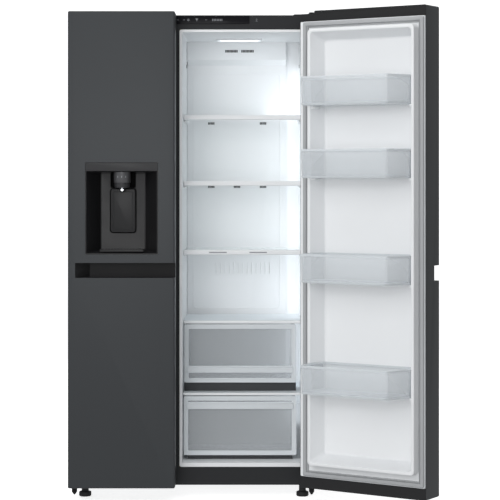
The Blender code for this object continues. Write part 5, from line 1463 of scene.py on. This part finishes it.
class FRIDGE_OT_dispenser(bpy.types.Operator):
    """Makes the water dispenser: housing, header, nozzle, lever and drip tray"""

    bl_idname = "fridge.dispenser"
    bl_label = "Dispenser"

    def execute(self, context):
        self.housing()
        self.nozzle()
        self.lever()
        self.tray()
        return {"FINISHED"}

    def housing(self):
        seat = Seat("dispenser_housing")
        header_base = seat.z1 - HEADER_HEIGHT
        mouth = (seat.x0 + 0.004, seat.x1 - 0.004, seat.z0 + 0.004, header_base)
        back_x0, back_x1 = seat.mid_x - RECESS_BACK_HALF, seat.mid_x + RECESS_BACK_HALF
        back = (back_x0, back_x1, mouth[2] + 0.003, mouth[3] - 0.003)
        depth = RECESS_DEPTH
        rim = (seat.x0, seat.x1, seat.z0, header_base - 0.0004)
        sections = [
            (rect(grown(back, -inset), 0.010 - inset), depth - rise * 0.6)
            for inset, rise in quarter(0.006, 4)
        ]
        sections += [
            (rect(grown(mouth, -0.0010), 0.003), 0.0030),
            (rect(mouth, 0.003), 0.0010),
            (rect(grown(mouth, 0.0008), 0.003), 0.0005),
            (rect(rim, 0.004), 0.0005),
            (rect(rim, 0.004), 0.0025),
            (rect(grown(mouth, 0.003), 0.003), 0.0025),
            (rect(grown(back, 0.002), 0.010), depth + 0.002),
        ]
        shape = stack(sections, "Y")
        stood_for = ("dispenser_housing",)
        make("dispenser_tub", shape, "recess", "freezer_door", stood_for, angle=50.0)
        header = (seat.x0, seat.x1, header_base + 0.0004, seat.z1)
        shape = pillow(header, 0.004, "Y", 0.0002, 0.012, 0.0010, 0.0)
        make("dispenser_header", shape, "header", "freezer_door")
        # The hood and back plate round the nozzle are near black: painted shade in the nozzle's cavity.
        wall = (seat.mid_x - HOOD_HALF, seat.mid_x + HOOD_HALF, header_base - HOOD_DROP, header_base - 0.0044)
        shape = frame_ring(wall, grown(wall, -0.0022), 0.006, "Y", depth - 0.013, depth - 0.002, 0.0006)
        make("nozzle_surround", shape, "deep_black", "freezer_door")
        plate = pillow(grown(wall, -0.0023), 0.005, "Y", depth - 0.006, depth - 0.002, 0.0005)
        make("nozzle_back", plate, "deep_black", "freezer_door")
        seam = (back_x0 + 0.006, back_x1 - 0.006, header_base - 0.0100, header_base - 0.0092)
        shape = pillow(seam, 0.0003, "Y", depth - 0.0009, depth + 0.0005)
        make("recess_seam", shape, "deep_black", "freezer_door")

    def nozzle(self):
        seat = Seat("dispenser_nozzle")
        centre = (seat.mid_x, seat.mid_y)
        top = seat.z1
        body = (
            (NOZZLE_RADIUS, top), (NOZZLE_RADIUS, top - NOZZLE_HEIGHT),
            (0.0300, top - 0.0393), (0.0292, top - 0.0397), (0.0100, top - 0.0397),
        )
        shape = lathe(body, centre, steps=64)
        make("nozzle_body", shape, "nozzle", "freezer_door", ("dispenser_nozzle",))
        ring = (
            (0.0100, top - 0.0398), (0.0278, top - 0.0398), (0.0284, top - 0.0404), (0.0284, top - 0.0552),
            (0.0276, top - 0.0572), (0.0255, top - 0.0580), (0.0130, top - 0.0584), (0.0090, top - 0.0584),
        )
        shape = lathe(ring, centre, steps=64)
        make("nozzle_ring", shape, "nozzle_ring", "freezer_door")
        spout = (
            (0.0125, top - 0.0585), (0.0125, top - 0.0620), (0.0118, top - 0.0665), (0.0098, top - 0.0700),
            (0.0070, top - 0.0716), (0.0050, top - 0.0718), (0.0044, top - 0.0700), (0.0042, top - 0.0630),
        )
        shape = lathe(spout, centre, steps=48)
        make("nozzle_spout", shape, "nozzle_ring", "freezer_door")
        # A small glowing dome at the spout's lower front: a painted highlight, not a lamp.
        dome = ((0.0040, centre[1] - 0.0100), (0.0036, centre[1] - 0.0122), (0.0018, centre[1] - 0.0132))
        lens = lathe(dome, (centre[0], top - 0.0655), "Y", 28)
        make("nozzle_light", lens, "nozzle_light", "freezer_door")
        # Three lighter patches facing the front of the nozzle: painted highlights.
        marks = []
        reach = NOZZLE_RADIUS + 0.0001
        for turn in HIGHLIGHT_TURNS:
            angle = math.radians(turn - 90)
            x = centre[0] + reach * math.cos(angle)
            y = centre[1] + reach * math.sin(angle)
            mark = pillow((-0.0016, 0.0016, -0.0034, 0.0034), 0.0012, "Y", -0.0003, 0.0008, 0.0002)
            move = Matrix.Translation((x, y, top - 0.018)) @ Matrix.Rotation(math.radians(turn), 4, "Z")
            bmesh.ops.transform(mark, matrix=move, verts=mark.verts)
            marks.append(mark)
        make("nozzle_marks", merge(marks), "icon", "freezer_door")

    def lever(self):
        seat = Seat("dispenser_lever")
        limits = seat.front()
        plate = pillow(limits, 0.011, "Y", seat.y0, seat.y1, 0.0014, 0.0006)
        dish = grown(limits, -0.008)
        ridge = frame_ring(dish, grown(dish, -0.0018), 0.008, "Y", seat.y0 - 0.0012, seat.y0 + 0.001, 0.0006)
        knuckles = []
        for x in (seat.x0 + 0.012, seat.x1 - 0.012):
            knuckles.append(
                lathe(((0.004, x - 0.008), (0.004, x + 0.008)), (seat.y1 - 0.001, seat.z1 - 0.001), "X", 24)
            )
        shape = merge([plate, ridge] + knuckles)
        make("lever_plate", shape, "recess", "dispenser_lever", ("dispenser_lever",))
        # A near-black ring in the gap round the lever: painted shade in the groove.
        groove = frame_ring(grown(limits, 0.0042), grown(limits, 0.0008), 0.013, "Y", 0.0835, 0.0848, 0.0004)
        make("lever_groove", groove, "deep_black", "freezer_door")

    def tray(self):
        seat = Seat("drip_tray")
        body = soft_tub(seat.plan(), 0.002, 0.002, seat.z0, seat.z1 - 0.001, 0.010)
        make("drip_tray_dish", body, "moulding", "freezer_door", ("drip_tray",))
        edge = (seat.x0 - 0.001, seat.x1 + 0.001, seat.z0 + 0.001, seat.z1 + 0.0006)
        lip = pillow(edge, 0.003, "Y", seat.y0 - 0.003, seat.y0 + 0.003, 0.002, 0.001)
        make("drip_tray_lip", lip, "recess", "freezer_door")
        bars = []
        for step in range(13):
            x = seat.x0 + 0.012 + (seat.x1 - seat.x0 - 0.024) * step / 12
            limits = (x - 0.0022, x + 0.0022, seat.y0 + 0.004, seat.y1 - 0.004)
            bars.append(pillow(limits, 0.0015, "Z", seat.z1 - 0.0028, seat.z1 - 0.0008, 0.0, 0.0008, 3))
        for y in (seat.y0 + 0.020, seat.mid_y, seat.y1 - 0.020):
            limits = (seat.x0 + 0.004, seat.x1 - 0.004, y - 0.0016, y + 0.0016)
            bars.append(pillow(limits, 0.001, "Z", seat.z1 - 0.0036, seat.z1 - 0.0016))
        make("drip_tray_grille", merge(bars), "moulding", "freezer_door")


# ---- Hinges, feet and rollers ----
HINGE_COVER_NEAR, HINGE_COVER_FAR = 0.0205, 0.075
HINGE_SCREWS = (0.018, 0.052, 0.086)
HINGE_SCREW_RADIUS = 0.0042
FOOT_FLANGE_TOP = 0.0180
FOOT_STEM_RADIUS = 0.0130
FOOT_COLLAR_RADIUS = 0.0150
FOOT_RIBS = 24


class FRIDGE_OT_hinges_and_feet(bpy.types.Operator):
    """Makes the hinge covers, arms and pins, the levelling feet and the rear rollers"""

    bl_idname = "fridge.hinges_and_feet"
    bl_label = "Hinges and feet"

    def execute(self, context):
        for side in ("left", "right"):
            self.top_hinge(side)
            keep(f"bottom_hinge_{side}", "enamel", 0.0006)
            self.foot(side)
            keep(f"rear_roller_{side}", "moulding", 0.0008)
        return {"FINISHED"}

    def top_hinge(self, side):
        seat = Seat(f"top_hinge_{side}")
        keep(f"top_hinge_{side}", "enamel", 0.0008)
        frame_back = Seat("front_frame").y1
        inward = -1 if side == "right" else 1
        edge = seat.x1 if side == "right" else seat.x0
        x0, x1 = sorted((edge + inward * HINGE_COVER_NEAR, edge + inward * HINGE_COVER_FAR))
        top, base = seat.z1, Seat("outer_shell").z1
        cover = pillow((x0, x1, frame_back + 0.004, seat.y1), 0.010, "Z", base + 0.0002, top, 0.0, 0.0025)
        make(f"hinge_cover_{side}", cover, "moulding", "case")
        places = [seat.y1 - back for back in HINGE_SCREWS]
        screws = [screw_head(seat.mid_x, place, top, "Z", 1, HINGE_SCREW_RADIUS) for place in places]
        make(f"hinge_screws_{side}", merge(screws), "screw", "case")

    def foot(self, side):
        seat = Seat(f"front_foot_{side}")
        centre = (seat.mid_x, seat.mid_y)
        radius = (seat.x1 - seat.x0) / 2
        flange = ((radius - 0.0025, 0.0), (radius - 0.0008, 0.0008), (radius, 0.0030), (radius, 0.0155))
        crown = ((radius - 0.0010, 0.0172), (radius - 0.0040, FOOT_FLANGE_TOP))
        neck = ((0.0155, 0.0186), (0.0135, 0.0202))
        stem = ((FOOT_STEM_RADIUS, 0.0240), (FOOT_STEM_RADIUS, seat.z1 - 0.0060))
        collar = ((FOOT_COLLAR_RADIUS, seat.z1 - 0.0040), (FOOT_COLLAR_RADIUS, seat.z1))
        body = lathe(flange + crown + neck + stem + collar, centre, steps=48)
        make(f"foot_{side}", body, "moulding", "case", (f"front_foot_{side}",))
        ribs = []
        middle = Matrix.Translation((centre[0], centre[1], 0.0))
        outward = Matrix.Translation((0.0, radius, 0.0))
        for step in range(FOOT_RIBS):
            turn = Matrix.Rotation(2 * math.pi * step / FOOT_RIBS, 4, "Z")
            rib = box(-0.0009, 0.0009, -0.0007, 0.0007, 0.0030, 0.0154)
            bmesh.ops.transform(rib, matrix=middle @ turn @ outward, verts=rib.verts)
            ribs.append(rib)
        make(f"foot_ribs_{side}", merge(ribs), "moulding", "case")


# ---- Machine space ----
class FRIDGE_OT_machine_space(bpy.types.Operator):
    """Makes the compressor with its pipes, and finishes the condenser, fan, rear cover and supply inlet"""

    bl_idname = "fridge.machine_space"
    bl_label = "Machine space"

    def execute(self, context):
        self.compressor()
        keep("condenser", "enamel")
        keep("condenser_fan", "moulding", 0.0004)
        keep("machine_cover", "zinc", 0.0004)
        self.cover_details()
        return {"FINISHED"}

    def compressor(self):
        seat = Seat("compressor")
        centre = (seat.mid_x, seat.mid_y)
        radius, height = (seat.x1 - seat.x0) / 2, seat.z1 - seat.z0
        profile = (
            (0.55, 0.06), (0.86, 0.10), (0.96, 0.18), (0.97, 0.52), (1.0, 0.525), (1.0, 0.575),
            (0.97, 0.58), (0.95, 0.70), (0.88, 0.83), (0.72, 0.93), (0.45, 0.985), (0.12, 1.0),
        )
        points = [(radius * w, seat.z0 + height * h) for w, h in profile]
        shape = lathe(points, centre, steps=56)
        make("compressor_shell", shape, "enamel", "case", ("compressor",), angle=60.0)
        feet = []
        base = seat.z0
        foot = ((0.010, base), (0.011, base + 0.003), (0.007, base + 0.008), (0.009, base + 0.013))
        for turn in range(4):
            angle = math.radians(45 + 90 * turn)
            spot = (centre[0] + radius * 0.82 * math.cos(angle), centre[1] + radius * 0.82 * math.sin(angle))
            feet.append(lathe(foot, spot, steps=24))
        make("compressor_feet", merge(feet), "moulding", "case")
        condenser = Seat("condenser")
        start = Vector((centre[0] - radius * 0.7, centre[1], seat.z0 + height * 0.80))
        end = Vector((condenser.x1 - 0.002, centre[1] + 0.030, condenser.z1 - 0.012))
        pipes = []
        for lift, shift in ((0.030, -0.012), (0.018, 0.012)):
            points = []
            for step in range(17):
                share = step / 16
                place = start.lerp(end, share)
                place.y += shift
                place.z += lift * math.sin(math.pi * share)
                points.append(place)
            pipes.append(tube(points, 0.0032))
        make("compressor_pipes", merge(pipes), "copper", "case")

    def cover_details(self):
        cover = Seat("machine_cover")
        back = cover.y1
        screws = []
        for x in (cover.x0 + 0.014, cover.mid_x - 0.02, cover.x1 - 0.014):
            for z in (cover.z0 + 0.012, cover.z1 - 0.012):
                screws.append(screw_head(x, back, z, "Y", 1))
        make("cover_screws", merge(screws), "screw", "case")
        centre_x, centre_z = cover.x1 * 0.703, cover.mid_z
        rim = (centre_x - 0.027, centre_x + 0.027, centre_z - 0.020, centre_z + 0.020)
        ring = frame_ring(rim, grown(rim, -0.0062), 0.006, "Y", back - 0.0002, back + 0.0012, 0.0)
        make("inlet_surround", ring, "moulding", "case", bevel=0.0004)
        pins = []
        for x, z in ((-0.009, -0.003), (0.009, -0.003), (0.0, 0.005)):
            pin_x, pin_z = centre_x + x, centre_z + z
            pin = (pin_x - 0.001, pin_x + 0.001, pin_z - 0.003, pin_z + 0.003)
            pins.append(pillow(pin, 0.0008, "Y", cover.y0 + 0.002, back - 0.001, 0.0, 0.0006))
        make("inlet_pins", merge(pins), "screw", "case")


# ---- Sidebar ----
OPERATORS = (
    FRIDGE_OT_stage,
    FRIDGE_OT_case,
    FRIDGE_OT_control_strip,
    FRIDGE_OT_compartment,
    FRIDGE_OT_shelves,
    FRIDGE_OT_drawers,
    FRIDGE_OT_freezer_inside,
    FRIDGE_OT_doors,
    FRIDGE_OT_seals,
    FRIDGE_OT_door_liners,
    FRIDGE_OT_bins,
    FRIDGE_OT_dispenser,
    FRIDGE_OT_hinges_and_feet,
    FRIDGE_OT_machine_space,
)


class FRIDGE_PT_sidebar(bpy.types.Panel):
    """The refrigerator's settings and steps"""

    bl_idname = "FRIDGE_PT_sidebar"
    bl_label = "Refrigerator"
    bl_space_type = "VIEW_3D"
    bl_region_type = "UI"
    bl_category = "Refrigerator"

    def draw(self, context):
        layout = self.layout
        for settings in (context.scene.fridge_colours, context.scene.fridge_sizes):
            column = layout.column(align=True)
            for name in settings.bl_rna.properties.keys():
                if name not in {"rna_type", "name"}:
                    column.prop(settings, name)
        steps = layout.column(align=True)
        for step in OPERATORS:
            steps.operator(step.bl_idname)


CLASSES = (FridgeColours, FridgeSizes, *OPERATORS, FRIDGE_PT_sidebar)


def register():
    for item in CLASSES:
        bpy.utils.register_class(item)
    bpy.types.Scene.fridge_colours = bpy.props.PointerProperty(type=FridgeColours)
    bpy.types.Scene.fridge_sizes = bpy.props.PointerProperty(type=FridgeSizes)


def unregister():
    del bpy.types.Scene.fridge_sizes
    del bpy.types.Scene.fridge_colours
    for item in reversed(CLASSES):
        bpy.utils.unregister_class(item)


def main():
    register()
    for step in OPERATORS:
        group, name = step.bl_idname.split(".")
        getattr(getattr(bpy.ops, group), name)()


if __name__ == "__main__":
    main()
